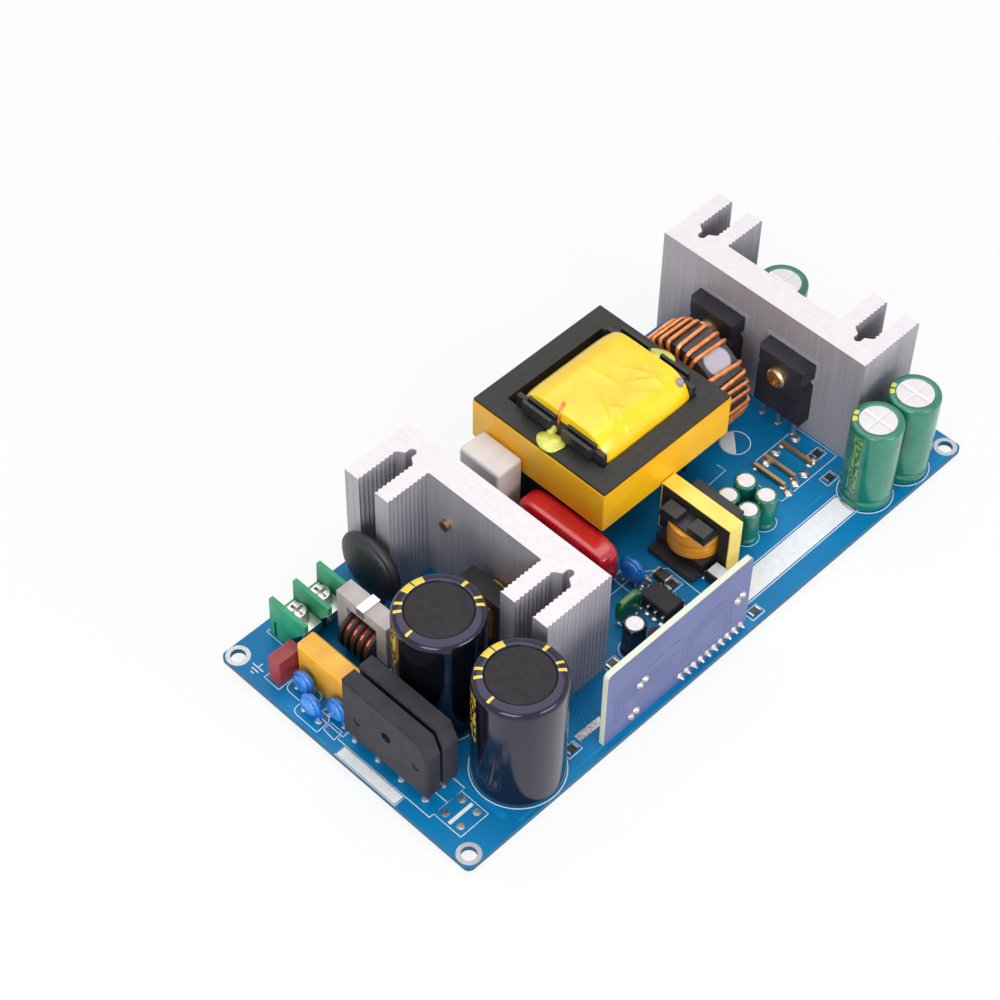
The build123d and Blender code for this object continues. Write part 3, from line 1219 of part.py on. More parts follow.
def controller_chips():
    """Eight-lead controller and the optocoupler beside it."""
    x, y = FRONT_FACE_X + DIP_FROM_SINK, NEAR_EDGE + DIP_FROM_NEAR
    opto_x, opto_y = FRONT_FACE_X + OPTO_FROM_SINK, NEAR_EDGE + OPTO_FROM_NEAR
    chips = [slab(x, y, TOP + DIP_Z, (DIP_W, DIP_L, DIP_H)),
             slab(opto_x, opto_y, TOP + DIP_Z, (OPTO_W, OPTO_L, DIP_H))]
    controller, opto = (chamfer(chip.faces().sort_by(Axis.Z)[-1].edges(), DIP_BEVEL) for chip in chips)
    z = TOP + DIP_Z + DIP_H
    controller -= post(x, y + DIP_L / 2, z - DIP_NOTCH_DEPTH, z + DIP_NOTCH_DEPTH, DIP_NOTCH_R)
    return group([controller, opto])


def chip_lead(outward):
    """Lead that leaves a package's side and turns down through the board."""
    reach = (DIP_ROW - DIP_W) / 2
    z = TOP + DIP_Z + DIP_H / 2
    half = DIP_LEAD_T / 2
    side = outline([(-reach, z - DIP_LEAD_T), (-reach, z), (half, z), (half, -SMALL_LEAD_OUT),
                    (-half, -SMALL_LEAD_OUT), (-half, z - DIP_LEAD_T)])
    lead_piece = extrude(Plane.XZ * side, DIP_LEAD_W / 2, both=True)
    return Rot(0, 0, outward) * lead_piece


def controller_leads():
    """Bent leads of the controller and the optocoupler."""
    pieces = [Pos(x, y, 0) * chip_lead(0 if side > 0 else 180) for x, y, side in dip_places()]
    pieces += [Pos(x, y, 0) * chip_lead(90 if side > 0 else -90) for x, y, side in opto_places()]
    return group(pieces)


def green_film_capacitor():
    x, y = green_film_place()
    box = slab(x, y, TOP + GREENFILM_Z, (GREENFILM_L, GREENFILM_W, GREENFILM_H))
    return fillet(box.edges(), GREENFILM_EDGE)


def three_lead_part():
    """Half-round plastic part on three leads."""
    x, y = to92_place()
    body = post(x, y, TOP + TO92_Z, TOP + TO92_Z + TO92_H, TO92_R)
    return body - block(x - TO92_R, x + TO92_R, y - 2 * TO92_R, y - TO92_R / 2, TOP, TOP + 2 * TO92_H)


def header_pin(x, y):
    """Right-angle pin: through the daughter board, then down through the main board."""
    half = HEADER_PIN / 2
    z = TOP + HEADER_Z
    tip = DAUGHTER_Y0 - HEADER_TIP
    side = outline([(tip, z - half), (tip, z + half), (y + half, z + half), (y + half, -SMALL_LEAD_OUT),
                    (y - half, -SMALL_LEAD_OUT), (y - half, z - half)])
    return across_x(side, x - half, x + half)


def header_pins():
    return group(header_pin(x, y) for x, y in header_places())


def header_bar():
    """Plastic strip that holds the header's pins against the daughter board."""
    places = header_places()
    x1, x0 = places[0][0] + HEADER_PITCH / 2, places[-1][0] - HEADER_PITCH / 2
    y0 = DAUGHTER_Y0 + DAUGHTER_T
    z = TOP + HEADER_Z
    bar = block(x0, x1, y0, y0 + HEADER_BAR, z - HEADER_BAR / 2, z + HEADER_BAR / 2)
    return bar - header_pins().solids()


def daughter_board():
    """Upright board with rounded upper corners and a row of header holes."""
    x = DAUGHTER_X0 + DAUGHTER_L / 2
    y = DAUGHTER_Y0 + DAUGHTER_T / 2
    board = slab(x, y, TOP, (DAUGHTER_L, DAUGHTER_T, DAUGHTER_H))
    board = fillet(board.edges().filter_by(Axis.Y).sort_by(Axis.Z)[-2:], DAUGHTER_CORNER_R)
    hole = HEADER_PIN + 2 * HEADER_HOLE_CLEARANCE
    cutter = Box(hole, 4 * DAUGHTER_T, hole)
    return board - [Pos(pin_x, y, TOP + HEADER_Z) * cutter for pin_x, _ in header_places()]


def nodes():
    """Every node of the part by name."""
    housings, clamps, screws, pins = terminal_parts()
    switches, rectifiers = power_places(power_body(), PAD_T)
    pads = power_places(power_pad(), 0)
    sink_screws = power_places(power_screw(), 0)
    parts = {
        "main_board": main_board(),
        "terminal_housings": group(housings),
        "terminal_clamps": group(clamps),
        "terminal_screws": group(screws),
        "terminal_pins": group(pins),
        "fuse": fuse(),
        "x_capacitor": x_capacitor(),
        "ceramic_discs": ceramic_discs(),
        "choke_core": choke_core(),
        "choke_bobbin": choke_bobbin(),
        "choke_windings": choke_windings(),
        "choke_clip": choke_clip(),
        "thermistor": thermistor(),
        "driver_core": driver_core(),
        "driver_coil": driver_coil(),
        "front_heatsink": front_heatsink(),
        "rear_heatsink": rear_heatsink(),
        "switching_transistors": group(switches),
        "output_rectifiers": group(rectifiers),
        "insulating_pads": group(pads[0] + pads[1]),
        "heatsink_screws": group(sink_screws[0] + sink_screws[1]),
        "box_film_capacitor": box_film_capacitor(),
        "red_film_capacitor": red_film_capacitor(),
        "transformer_core_1": transformer_core_half(-1),
        "transformer_core_2": transformer_core_half(1),
        "transformer_tape": transformer_tape(),
        "transformer_bobbin": transformer_bobbin(),
        "transformer_coil": transformer_coil(),
        "transformer_glue": transformer_glue(),
        "toroid_core": toroid_core(),
        "toroid_winding": toroid_winding(),
        "small_capacitors": small_capacitors(),
        "capacitor_tops": capacitor_tops(),
        "current_shunts": current_shunts(),
        "chip_parts": chip_parts(),
        "auxiliary_core": auxiliary_core(),
        "auxiliary_tape": auxiliary_tape(),
        "auxiliary_bobbin": auxiliary_bobbin(),
        "auxiliary_coil": auxiliary_coil(),
        "controller_chips": controller_chips(),
        "controller_leads": controller_leads(),
        "green_film_capacitor": green_film_capacitor(),
        "three_lead_part": three_lead_part(),
        "daughter_board": daughter_board(),
        "header_bar": header_bar(),
        "header_pins": header_pins(),
    }
    for i, x in enumerate(BRIDGE_XS, 1):
        parts[f"bridge_rectifier_{i}"] = bridge_rectifier(x)
    for i, y in enumerate(BULK_YS, 1):
        parts[f"bulk_capacitor_{i}"] = bulk_capacitor(y)
    parts["bulk_capacitor_tops"] = group(
        can_top(BULK_X, y, BULK_H, BULK_TOP_DROP, BULK_D / 2 - BULK_TOP_INSET - FIT_GAP, BULK_TOP_DROP / 2)
        for y in BULK_YS)
    for i, (x, y) in enumerate(output_capacitor_places(), 1):
        parts[f"output_capacitor_{i}"] = output_capacitor(x, y)
    for name in dict.fromkeys(entry[0] for entry in lead_rows()):
        parts[name] = straight_leads(name)
    return parts


os.makedirs("parts", exist_ok=True)
for node, shape in nodes().items():
    export_step(shape, f"parts/{node}.step")
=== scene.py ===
import math
import bmesh
import bpy
import numpy as np
from mathutils import Matrix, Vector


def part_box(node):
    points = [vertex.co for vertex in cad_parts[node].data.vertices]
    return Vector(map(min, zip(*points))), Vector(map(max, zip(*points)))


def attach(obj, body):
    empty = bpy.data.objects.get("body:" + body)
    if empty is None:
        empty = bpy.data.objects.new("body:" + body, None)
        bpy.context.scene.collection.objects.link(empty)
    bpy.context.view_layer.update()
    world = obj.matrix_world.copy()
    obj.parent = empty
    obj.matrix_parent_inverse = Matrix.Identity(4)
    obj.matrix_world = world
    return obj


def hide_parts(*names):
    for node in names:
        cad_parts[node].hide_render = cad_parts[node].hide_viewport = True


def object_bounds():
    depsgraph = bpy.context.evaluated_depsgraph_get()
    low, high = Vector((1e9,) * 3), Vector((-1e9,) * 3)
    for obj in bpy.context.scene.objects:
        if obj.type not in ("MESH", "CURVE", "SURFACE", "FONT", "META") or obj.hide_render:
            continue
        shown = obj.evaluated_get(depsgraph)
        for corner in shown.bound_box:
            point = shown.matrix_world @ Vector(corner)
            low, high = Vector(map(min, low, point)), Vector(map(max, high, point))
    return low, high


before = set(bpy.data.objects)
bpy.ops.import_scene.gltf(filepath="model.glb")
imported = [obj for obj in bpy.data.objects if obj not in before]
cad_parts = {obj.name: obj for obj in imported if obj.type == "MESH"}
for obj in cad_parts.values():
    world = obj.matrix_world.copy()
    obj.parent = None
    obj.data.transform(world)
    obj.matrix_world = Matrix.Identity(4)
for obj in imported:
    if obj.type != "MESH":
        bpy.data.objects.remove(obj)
cad_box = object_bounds()


# Main board: 1.6 mm glass-fibre laminate, routed and drilled, under a glossy blue solder mask.
# The weave shows faintly through the mask, and the routed edge is bare, darker laminate.
COAT_ROUGHNESS = 0.12
NOISE_LOW, NOISE_HIGH = 0.3, 0.7
EDGE_LOW, EDGE_HIGH = 0.4, 0.6


def tone(red, green, blue):
    """Linear colour of a screen colour: c / 12.92 up to 0.04045, above it ((c + 0.055) / 1.055) ^ 2.4."""
    screen = np.array([red, green, blue]) / 255
    linear = np.where(screen <= 0.04045, screen / 12.92, ((screen + 0.055) / 1.055) ** 2.4)
    return (*linear, 1.0)


def shader_of(material):
    return material.node_tree.nodes["Principled BSDF"]


def join(material, source, target):
    material.node_tree.links.new(source, target)


def painted(material, socket):
    join(material, socket, shader_of(material).inputs["Base Color"])


def grain(material, size, stretch=(1, 1, 1), detail=3.0):
    """Noise over the piece in cells of `size` mm, drawn out along each axis by `stretch`."""
    nodes = material.node_tree.nodes
    mapping = nodes.new("ShaderNodeMapping")
    mapping.inputs["Scale"].default_value = [1000 / (size * along) for along in stretch]
    noise = nodes.new("ShaderNodeTexNoise")
    noise.inputs["Scale"].default_value = 1.0
    noise.inputs["Detail"].default_value = detail
    join(material, nodes.new("ShaderNodeTexCoord").outputs["Object"], mapping.inputs["Vector"])
    join(material, mapping.outputs["Vector"], noise.inputs["Vector"])
    return noise.outputs["Fac"]


def scaled(material, factor, low, high, first, second):
    """Number that runs from the first to the second while the factor runs from low to high."""
    node = material.node_tree.nodes.new("ShaderNodeMapRange")
    for socket, value in zip(("From Min", "From Max", "To Min", "To Max"), (low, high, first, second)):
        node.inputs[socket].default_value = value
    join(material, factor, node.inputs["Value"])
    return node.outputs["Result"]


def mottled(material, first, second, size, stretch=(1, 1, 1)):
    """Colour that wanders from the first tone to the second with the grain."""
    ramp = material.node_tree.nodes.new("ShaderNodeValToRGB")
    stops = ramp.color_ramp.elements
    stops[0].position, stops[1].position = NOISE_LOW, NOISE_HIGH
    stops[0].color, stops[1].color = tone(*first), tone(*second)
    join(material, grain(material, size, stretch), ramp.inputs["Fac"])
    return ramp.outputs["Color"]


def finish(name, *tones, cells=4.0, stretch=(1, 1, 1), roughness=0.4, metallic=0.0, coat=0.0, specular=0.5):
    """A new material. One tone is its plain colour, two tones are mottled in cells of some mm. What is the
    same all over is set on the shader itself."""
    material = bpy.data.materials.new(name)
    material.use_nodes = True
    inputs = shader_of(material).inputs
    inputs["Roughness"].default_value = roughness
    inputs["Metallic"].default_value = metallic
    inputs["Specular IOR Level"].default_value = specular
    inputs["Coat Weight"].default_value = coat
    inputs["Coat Roughness"].default_value = COAT_ROUGHNESS
    if len(tones) == 1:
        inputs["Base Color"].default_value = tone(*tones[0])
    if len(tones) == 2:
        painted(material, mottled(material, *tones, cells, stretch))
    return material


def over(material, factor, under, upper):
    """The upper colour laid on the lower one where the factor is 1. Each is a socket or a plain tone."""
    mix = material.node_tree.nodes.new("ShaderNodeMix")
    mix.data_type = "RGBA"
    join(material, factor, mix.inputs["Factor"])
    for name, colour in (("A", under), ("B", upper)):
        if isinstance(colour, tuple):
            flat = material.node_tree.nodes.new("ShaderNodeRGB")
            flat.outputs["Color"].default_value = tone(*colour)
            colour = flat.outputs["Color"]
        join(material, colour, mix.inputs[name])
    return mix.outputs["Result"]


def gloss(material, size, low, high, stretch=(1, 1, 1)):
    """Roughness that wanders between two values with the grain."""
    wander = scaled(material, grain(material, size, stretch), NOISE_LOW, NOISE_HIGH, low, high)
    join(material, wander, shader_of(material).inputs["Roughness"])


def relief(material, size, height, stretch=(1, 1, 1)):
    """Relief of `height` mm with the grain, laid over any relief that the material already has."""
    bump = material.node_tree.nodes.new("ShaderNodeBump")
    bump.inputs["Distance"].default_value = height / 1000
    normal = shader_of(material).inputs["Normal"]
    if normal.is_linked:
        join(material, normal.links[0].from_socket, bump.inputs["Normal"])
    join(material, grain(material, size, stretch), bump.inputs["Height"])
    join(material, bump.outputs["Normal"], normal)


def facing(material, axis, across=0.0, along=1.0):
    """Number that runs from `across` to `along` as the surface turns to face along an axis, either way."""
    nodes = material.node_tree.nodes
    split, size = nodes.new("ShaderNodeSeparateXYZ"), nodes.new("ShaderNodeMath")
    size.operation = "ABSOLUTE"
    join(material, nodes.new("ShaderNodeNewGeometry").outputs["Normal"], split.inputs["Vector"])
    join(material, split.outputs[axis], size.inputs[0])
    return scaled(material, size.outputs["Value"], EDGE_LOW, EDGE_HIGH, across, along)


def dress(material, *nodes):
    """Give CAD nodes their finish."""
    for node in nodes:
        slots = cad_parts[node].data.materials
        slots.clear()
        slots.append(material)


board_mask = finish("board_mask", specular=0.22)
mask_tone = mottled(board_mask, (1, 106, 158), (4, 126, 184), 24)
painted(board_mask, over(board_mask, facing(board_mask, "Z"), (20, 84, 116), mask_tone))
gloss(board_mask, 3, 0.3, 0.44)
relief(board_mask, 0.5, 0.02, (2.5, 1, 1))
dress(board_mask, "main_board")


# Print: white ink on the mask. It outlines the parts and the jumper, frames two blank label
# boxes, and gives a ground sign and a half-filled ring. All of it lies a hair above the board.
INK, PRINT_LIFT = 0.03, 0.02
OUTLINE_W, RING_W, SMALL_RING_W, SIGN_W = 0.22, 0.25, 0.2, 0.3
BULK_RING_R, OUTPUT_RING_R, SMALL_RING_R = 12.1, 7.5, 3.6
CHIP_MARGIN = 0.7
DISC_HALF, DISC_EASE = (2.6, 4.6), 2.2
SIGN_PLACE, SIGN_STEM, SIGN_REACHES = (-89.7, 34.7), 1.6, (1.9, 1.2, 0.5)
HALF_RING, HALF_RING_R, HALF_START = (51.5, 0), 4.2, 46
LABELS = ((12.6, 56.0, -38.1, -31.5), (-93.6, -90.7, -18.6, 1.9))
JUMPER_BAR = (-88.2, -80.3, -32.2, -31.2)
CREASE = 35.0
MERGE, SLIVER = 1e-7, 1e-8


def corners_of(node):
    """Lowest and highest corner of a node, in mm."""
    return [np.array(corner) * 1000 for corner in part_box(node)]


def spans(node):
    """Corners in mm of each separate solid of a node, in order along X and then Y. Every vertex starts with
    a label of its own and takes the lowest label across its edges until none changes."""
    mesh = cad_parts[node].data
    places = np.empty(3 * len(mesh.vertices))
    mesh.vertices.foreach_get("co", places)
    places = places.reshape(-1, 3) * 1000
    ends = np.empty(2 * len(mesh.edges), int)
    mesh.edges.foreach_get("vertices", ends)
    same = np.unique(places.round(3), axis=0, return_inverse=True)[1].ravel()
    ends = same[ends.reshape(-1, 2)]
    label, last = np.arange(same.max() + 1), None
    while last is None or (label != last).any():
        last = label.copy()
        lowest = label[ends].min(axis=1)
        np.minimum.at(label, ends[:, 0], lowest)
        np.minimum.at(label, ends[:, 1], lowest)
        label = label[label]
    label = label[same]
    boxes = np.array([[places[label == k].min(axis=0), places[label == k].max(axis=0)]
                      for k in np.unique(label)])
    return boxes[np.lexsort((boxes[:, 0, 1].round(1), boxes[:, 0, 0].round(1)))]


def unit(vectors):
    """The same directions at length 1."""
    return vectors / np.linalg.norm(vectors, axis=-1, keepdims=True)


def eased(points, ease, steps=6):
    """Line with each inner corner C turned into a curve between A and B, points `ease` mm away on both
    sides: (1 - t)^2 A + 2 t (1 - t) C + t^2 B."""
    points = np.asarray(points, float)
    t = np.linspace(0, 1, steps)[:, None]
    parts = [points[:1]]
    for before, corner, after in zip(points, points[1:], points[2:]):
        to_a, to_b = before - corner, after - corner
        a = corner + to_a * min(ease / np.linalg.norm(to_a), 0.49)
        b = corner + to_b * min(ease / np.linalg.norm(to_b), 0.49)
        parts.append((1 - t) ** 2 * a + 2 * t * (1 - t) * corner + t ** 2 * b)
    return np.concatenate(parts + [points[-1:]])


def capped(path, grid):
    """Rows of a grid between two rows that shrink to the ends of its path."""
    row = np.ones_like(grid[:1])
    return np.concatenate([path[0] * row, grid, path[-1] * row])


def carried(path, section, up=(0, 0, 1), closed=False):
    """Closed section (a, b) carried along a path P: P + a (T x up) + b ((T x up) x T), T the unit tangent.
    An open path is capped, a closed one ends where it starts."""
    path, section = np.asarray(path, float), np.asarray(section, float)
    if closed:
        tangent = unit(np.gradient(np.concatenate([path[-1:], path, path[:1]]), axis=0)[1:-1])
    else:
        tangent = unit(np.gradient(path, axis=0))
    side = unit(np.cross(tangent, up))
    rise = np.cross(side, tangent)
    grid = path[:, None] + side[:, None] * section[None, :, :1] + rise[:, None] * section[None, :, 1:]
    return np.concatenate([grid, grid[:1]]) if closed else capped(path, grid)


def bar_section(width, thickness):
    """Flat bar lying on the line, its lower side at zero."""
    return oblong(-width / 2, width / 2, 0, thickness)


def flat_line(points, width, z, thickness=INK, ease=0.0):
    """Line of print or copper through (x, y) points, laid at height z."""
    path = np.array([(x, y, z) for x, y in points], float)
    if ease:
        path = eased(path, ease)
    return carried(path, bar_section(width, thickness))


def patch(x0, x1, y0, y1, z, thickness=INK):
    """Filled rectangle: a bar as wide as the patch, carried along X."""
    middle = (y0 + y1) / 2
    return flat_line([(x0, middle), (x1, middle)], y1 - y0, z, thickness)


def oblong(x0, x1, y0, y1):
    """The four corners of a rectangle, back to the first."""
    return [(x0, y0), (x1, y0), (x1, y1), (x0, y1), (x0, y0)]


def printed_ring(x, y, radius, width=RING_W, start=0, stop=360, steps=48):
    """Arc of ink about an upright axis: (x + r cos a, y + r sin a)."""
    angle = np.radians(np.linspace(start, stop, steps))
    path = np.stack([x + radius * np.cos(angle), y + radius * np.sin(angle), 0 * angle + print_z], -1)
    return carried(path, bar_section(width, INK))


def placed(name, data):
    """A new object in the scene."""
    made = bpy.data.objects.new(name, data)
    bpy.context.scene.collection.objects.link(made)
    return made


def piece(name, skins, instead_of=()):
    """One object from closed shells, given as (material, grids) pairs: a grid's points (mm) become quads, its
    seam and poles are merged, its faces point outwards by the sign of its volume, and its UV map runs with
    the grid: U across a row by count, V along the rows by length."""
    points, quads, uvs, marks = [], [], [], []
    start = 0
    for mark, grid in ((mark, grid) for mark, (_, grids) in enumerate(skins) for grid in grids):
        rows, columns = grid.shape[:2]
        index = np.arange(rows * columns).reshape(rows, columns)
        cell = np.stack([index[:-1, :-1], index[:-1, 1:], index[1:, 1:], index[1:, :-1]], -1).reshape(-1, 4)
        flat = grid.reshape(-1, 3)
        a, b, c, d = (flat[cell[:, i]] - flat.mean(axis=0) for i in range(4))
        if (np.cross(a, b) * c).sum() + (np.cross(a, c) * d).sum() < 0:
            cell = cell[:, ::-1]
        length = np.linalg.norm(np.diff(grid, axis=0), axis=2).mean(axis=1).cumsum()
        v = np.concatenate([[0], length]) / length[-1]
        u = np.linspace(0, 1, columns)
        uv = np.stack(np.broadcast_arrays(u[None, :], v[:, None]), -1).reshape(-1, 2)
        points.append(flat)
        quads.append(cell + start)
        uvs.append(uv[cell.ravel()])
        marks.append(np.full(len(cell), mark))
        start += rows * columns
    points, quads = np.concatenate(points) / 1000, np.concatenate(quads)
    mesh = bpy.data.meshes.new(name)
    mesh.vertices.add(len(points))
    mesh.vertices.foreach_set("co", points.ravel())
    mesh.loops.add(quads.size)
    mesh.loops.foreach_set("vertex_index", quads.ravel())
    mesh.polygons.add(len(quads))
    mesh.polygons.foreach_set("loop_start", np.arange(len(quads)) * 4)
    mesh.polygons.foreach_set("material_index", np.concatenate(marks))
    mesh.uv_layers.new(name="UVMap").data.foreach_set("uv", np.concatenate(uvs).ravel())
    for material, _ in skins:
        mesh.materials.append(material)
    mesh.update(calc_edges=True)
    work = bmesh.new()
    work.from_mesh(mesh)
    bmesh.ops.remove_doubles(work, verts=work.verts, dist=MERGE)
    bmesh.ops.dissolve_degenerate(work, edges=work.edges, dist=SLIVER)
    work.to_mesh(mesh)
    work.free()
    mesh.shade_smooth()
    mesh.set_sharp_from_angle(angle=math.radians(CREASE))
    made = placed(name, mesh)
    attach(made, "root")
    if instead_of:
        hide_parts(*instead_of)
    return made


board_high = corners_of("main_board")[1]
board_top = board_high[2]
print_z = board_top + PRINT_LIFT
white_ink = finish("white_ink", (222, 227, 232), (236, 239, 241), cells=1.2, roughness=0.55)
small_spans, disc_spans, chip_spans = spans("small_capacitors"), spans("ceramic_discs"), spans("chip_parts")
lines = [
    oblong(-90.3, -84.3, -27.2, 4.8),
    [(-84.3, -27.2), (-78.4, -27.2), (-78.4, 4.8), (-84.3, 4.8)],
    oblong(-90.6, -81.1, 26.0, 31.4),
    [(-80.6, 26.9), (-80.6, 41.5), (-62.2, 41.5)],
    oblong(-88.9, -79.6, -36.4, -27.2),
    oblong(12.0, 56.6, -38.6, -31.0),
    oblong(-93.9, -90.4, -19.0, 2.2),
    [(-10.7, -11.9), (-0.1, -11.8), (6.5, -16.2), (6.2, -27.8)],
    [(35.2, -5.0), (42.3, -4.7), (42.2, -1.8)],
    [(50.6, -8.2), (67.4, -8.2), (67.4, -22.4), (44.6, -22.4), (44.6, -12.6)],
    [(-91.2, 5.2), (-88.2, 5.6), (-88.2, 9.4), (-90.8, 9.4), (-91.2, 5.2)],
    [(12.4, -34.0), (12.4, -35.2), (9.0, -35.2)],
]
lines += [oblong(x0 - CHIP_MARGIN, x1 + CHIP_MARGIN, y0 - CHIP_MARGIN, y1 + CHIP_MARGIN)
          for (x0, y0, _), (x1, y1, _) in chip_spans]
prints = [flat_line(line, OUTLINE_W, print_z) for line in lines]
sign_x, sign_y = SIGN_PLACE
sign = [[(sign_x - i, sign_y - reach), (sign_x - i, sign_y + reach)] for i, reach in enumerate(SIGN_REACHES)]
sign.append([(sign_x, sign_y), (sign_x + SIGN_STEM, sign_y)])
prints += [flat_line(line, SIGN_W, print_z) for line in sign]
prints += [printed_ring(*HALF_RING, HALF_RING_R),
           printed_ring(*HALF_RING, HALF_RING_R / 2, HALF_RING_R, HALF_START, HALF_START + 180),
           printed_ring(-54.3, 30.35, 3.2, OUTLINE_W)]
prints += [flat_line(oblong(x - DISC_HALF[0], x + DISC_HALF[0], y - DISC_HALF[1], y + DISC_HALF[1]),
                     OUTLINE_W, print_z, ease=DISC_EASE) for x, y, _ in disc_spans.mean(axis=1)]
for i in (1, 2):
    prints.append(printed_ring(*np.mean(corners_of(f"bulk_capacitor_{i}"), axis=0)[:2], BULK_RING_R))
for i in (1, 2, 3):
    prints.append(printed_ring(*np.mean(corners_of(f"output_capacitor_{i}"), axis=0)[:2], OUTPUT_RING_R))
prints += [printed_ring(x, y, SMALL_RING_R, SMALL_RING_W, steps=32) for x, y, _ in small_spans.mean(axis=1)]
prints += [patch(*sides, print_z) for sides in (JUMPER_BAR, *LABELS)]
piece("board_print", [(white_ink, prints)])


# Tracks: etched copper under the mask stands a little proud of the laminate and looks paler.
# A fan of fine tracks runs under the daughter board, and broad ones follow the board's edges.
COPPER, POUR, TRACK_LIFT = 0.02, 0.012, 0.01
FINE_TRACKS, FINE_PITCH, FINE_W, FINE_EASE = 9, 1.2, 0.5, 1.0
track_z = board_top + TRACK_LIFT
mask_over_copper = finish("mask_over_copper", (4, 120, 176), (8, 136, 194), cells=9, roughness=0.34,
                          specular=0.22)
tracks = [flat_line([(x, -35.1), (x, -33.4), (x + 1.6, -31.8), (x + 1.6, -29.4)], FINE_W, track_z, COPPER,
                    FINE_EASE) for x in -51.0 + FINE_PITCH * np.arange(FINE_TRACKS)]
for start, stop, width in (
        ((-61.0, -42.3), (-12.0, -42.3), 0.5), ((45.0, -28.6), (58.0, -28.6), 0.5),
        ((24.0, -29.9), (44.0, -29.9), 0.4), ((-93.4, 24.0), (-93.4, 5.0), 0.6),
        ((-76.0, -43.0), (-62.0, -43.0), 0.6), ((70.0, -43.0), (88.0, -43.0), 0.5),
        ((92.6, -34.0), (92.6, -12.0), 0.6)):
    tracks.append(flat_line([start, stop], width, track_z, COPPER))
for sides in ((26.0, 43.0, -29.0, -24.0), (59.0, 66.0, -36.0, -27.0), (-92.6, -88.9, 10.5, 24.0),
              (-78.4, -76.6, -40.0, -10.0), (-8.0, 4.0, -41.0, -37.0), (-36.0, -20.0, -40.0, -33.0),
              (36.0, 46.0, -20.0, -8.0)):
    tracks.append(patch(*sides, track_z, POUR))
piece("board_tracks", [(mask_over_copper, tracks)])


# Solder joints: every lead is soldered, with a bright cone on the underside and a thin
# plated ring on top. The mounting holes have wide plated rings, bare of mask.
LEAD_NODES = ("bridge_leads", "power_leads", "transformer_pins", "auxiliary_pins", "component_leads",
              "controller_leads", "header_pins", "terminal_pins")
SHUNT_END, HEADER_PIN, LEAD_END, BENT = 0.5, 0.64, 0.15, 0.8
CONTROLLER_MIDDLE = (-3.9, -28.75)
HOLE_INSET, HOLE_R, RIM_R, RIM_T = 3.25, 2.02, 3.2, 0.05
JUMPER_PADS = ((-86.8, -29.1), (-81.2, -29.1), (-86.8, -34.2), (-81.2, -34.2))
WIDE_PAD, WIDE_PAD_W, WIDE_PAD_T = [(-48.9, -36.5), (-40.2, -36.7)], 2.1, 0.12
DOMES = ((64.2, -10.6), (56.6, -10.0), (51.9, -10.5), (61.6, -19.1), (56.2, -20.4), (52.0, -20.7),
         (48.2, -21.5))
cone = [(0, -1.5), (0.45, -1.5), (0.62, -0.9), (0.95, -0.35), (1.3, -0.04), (0, -0.04)]
collar = [(0, 0.01), (1.0, 0.01), (1.0, 0.05), (0.85, 0.12), (0.5, 0.32), (0, 0.34)]
pad = [(0, 0.01), (1.05, 0.01), (1.05, 0.05), (0.5, 0.09), (0, 0.1)]
dome = [(0, 0.01), (1.5, 0.01), (1.4, 0.25), (0.9, 0.6), (0.35, 0.75), (0, 0.78)]
rim = np.array([(RIM_R, 0), (RIM_R, RIM_T), (HOLE_R, RIM_T), (HOLE_R, 0), (RIM_R, 0)])


def turned(profile, place, steps=48, axis="z"):
    """Profile of (radius, height) points turned about an axis through the place: (r cos a, r sin a, h)."""
    radius, height = np.array(profile, float).T
    angle = np.linspace(0, 2 * np.pi, steps + 1)
    across, along = np.cos(angle) * radius[:, None], np.sin(angle) * radius[:, None]
    height = height[:, None] + 0 * angle
    order = {"z": (across, along, height), "x": (height, across, along), "y": (along, height, across)}[axis]
    return np.stack(order, -1) + np.asarray(place, float)


def solder_places(node, low, high):
    """Points (x, y) where a lead meets the board: its middle, or the far end of a bent one."""
    middle = (low + high) / 2
    if node == "current_shunts":
        return [(middle[0], low[1] + SHUNT_END), (middle[0], high[1] - SHUNT_END)]
    if node == "header_pins":
        return [(middle[0], high[1] - HEADER_PIN / 2)]
    if node == "controller_leads":
        end = np.where(middle[:2] > CONTROLLER_MIDDLE, high[:2] - LEAD_END, low[:2] + LEAD_END)
        return [np.where((high - low)[:2] > BENT, end, middle[:2])]
    return [middle[:2]]


solder = finish("solder", (146, 144, 148), (214, 211, 211), cells=0.9, metallic=0.95)
gloss(solder, 0.6, 0.22, 0.48)
tinned_wire = finish("tinned_wire", (198, 196, 196), metallic=0.95)
gloss(tinned_wire, 0.8, 0.26, 0.46, (1, 1, 3))
dress(tinned_wire, *LEAD_NODES)
shunt_alloy = finish("shunt_alloy", (206, 162, 112), metallic=0.85)
gloss(shunt_alloy, 0.9, 0.28, 0.5, (1, 3, 1))
dress(shunt_alloy, "current_shunts")
plated = finish("plated_rim", (176, 178, 182), metallic=0.8)
gloss(plated, 1.5, 0.34, 0.56)
joints, rims = [], []
for node in (*LEAD_NODES, "current_shunts"):
    for low, high in spans(node):
        for x, y in solder_places(node, low, high):
            joints += [turned(cone, (x, y, 0), 12), turned(collar, (x, y, board_top), 12)]
joints += [turned(pad, (*place, board_top), 20) for place in JUMPER_PADS]
joints.append(flat_line(WIDE_PAD, WIDE_PAD_W, track_z, WIDE_PAD_T))
joints += [turned(dome, (*place, board_top), 16) for place in DOMES]
hole_x, hole_y = board_high[:2] - HOLE_INSET
for x, y in ((-hole_x, -hole_y), (-hole_x, hole_y), (hole_x, -hole_y), (hole_x, hole_y)):
    rims += [turned(rim, (x, y, board_top)), turned(rim * [1, -1], (x, y, 0))]
piece("solder_joints", [(solder, joints), (plated, rims)])


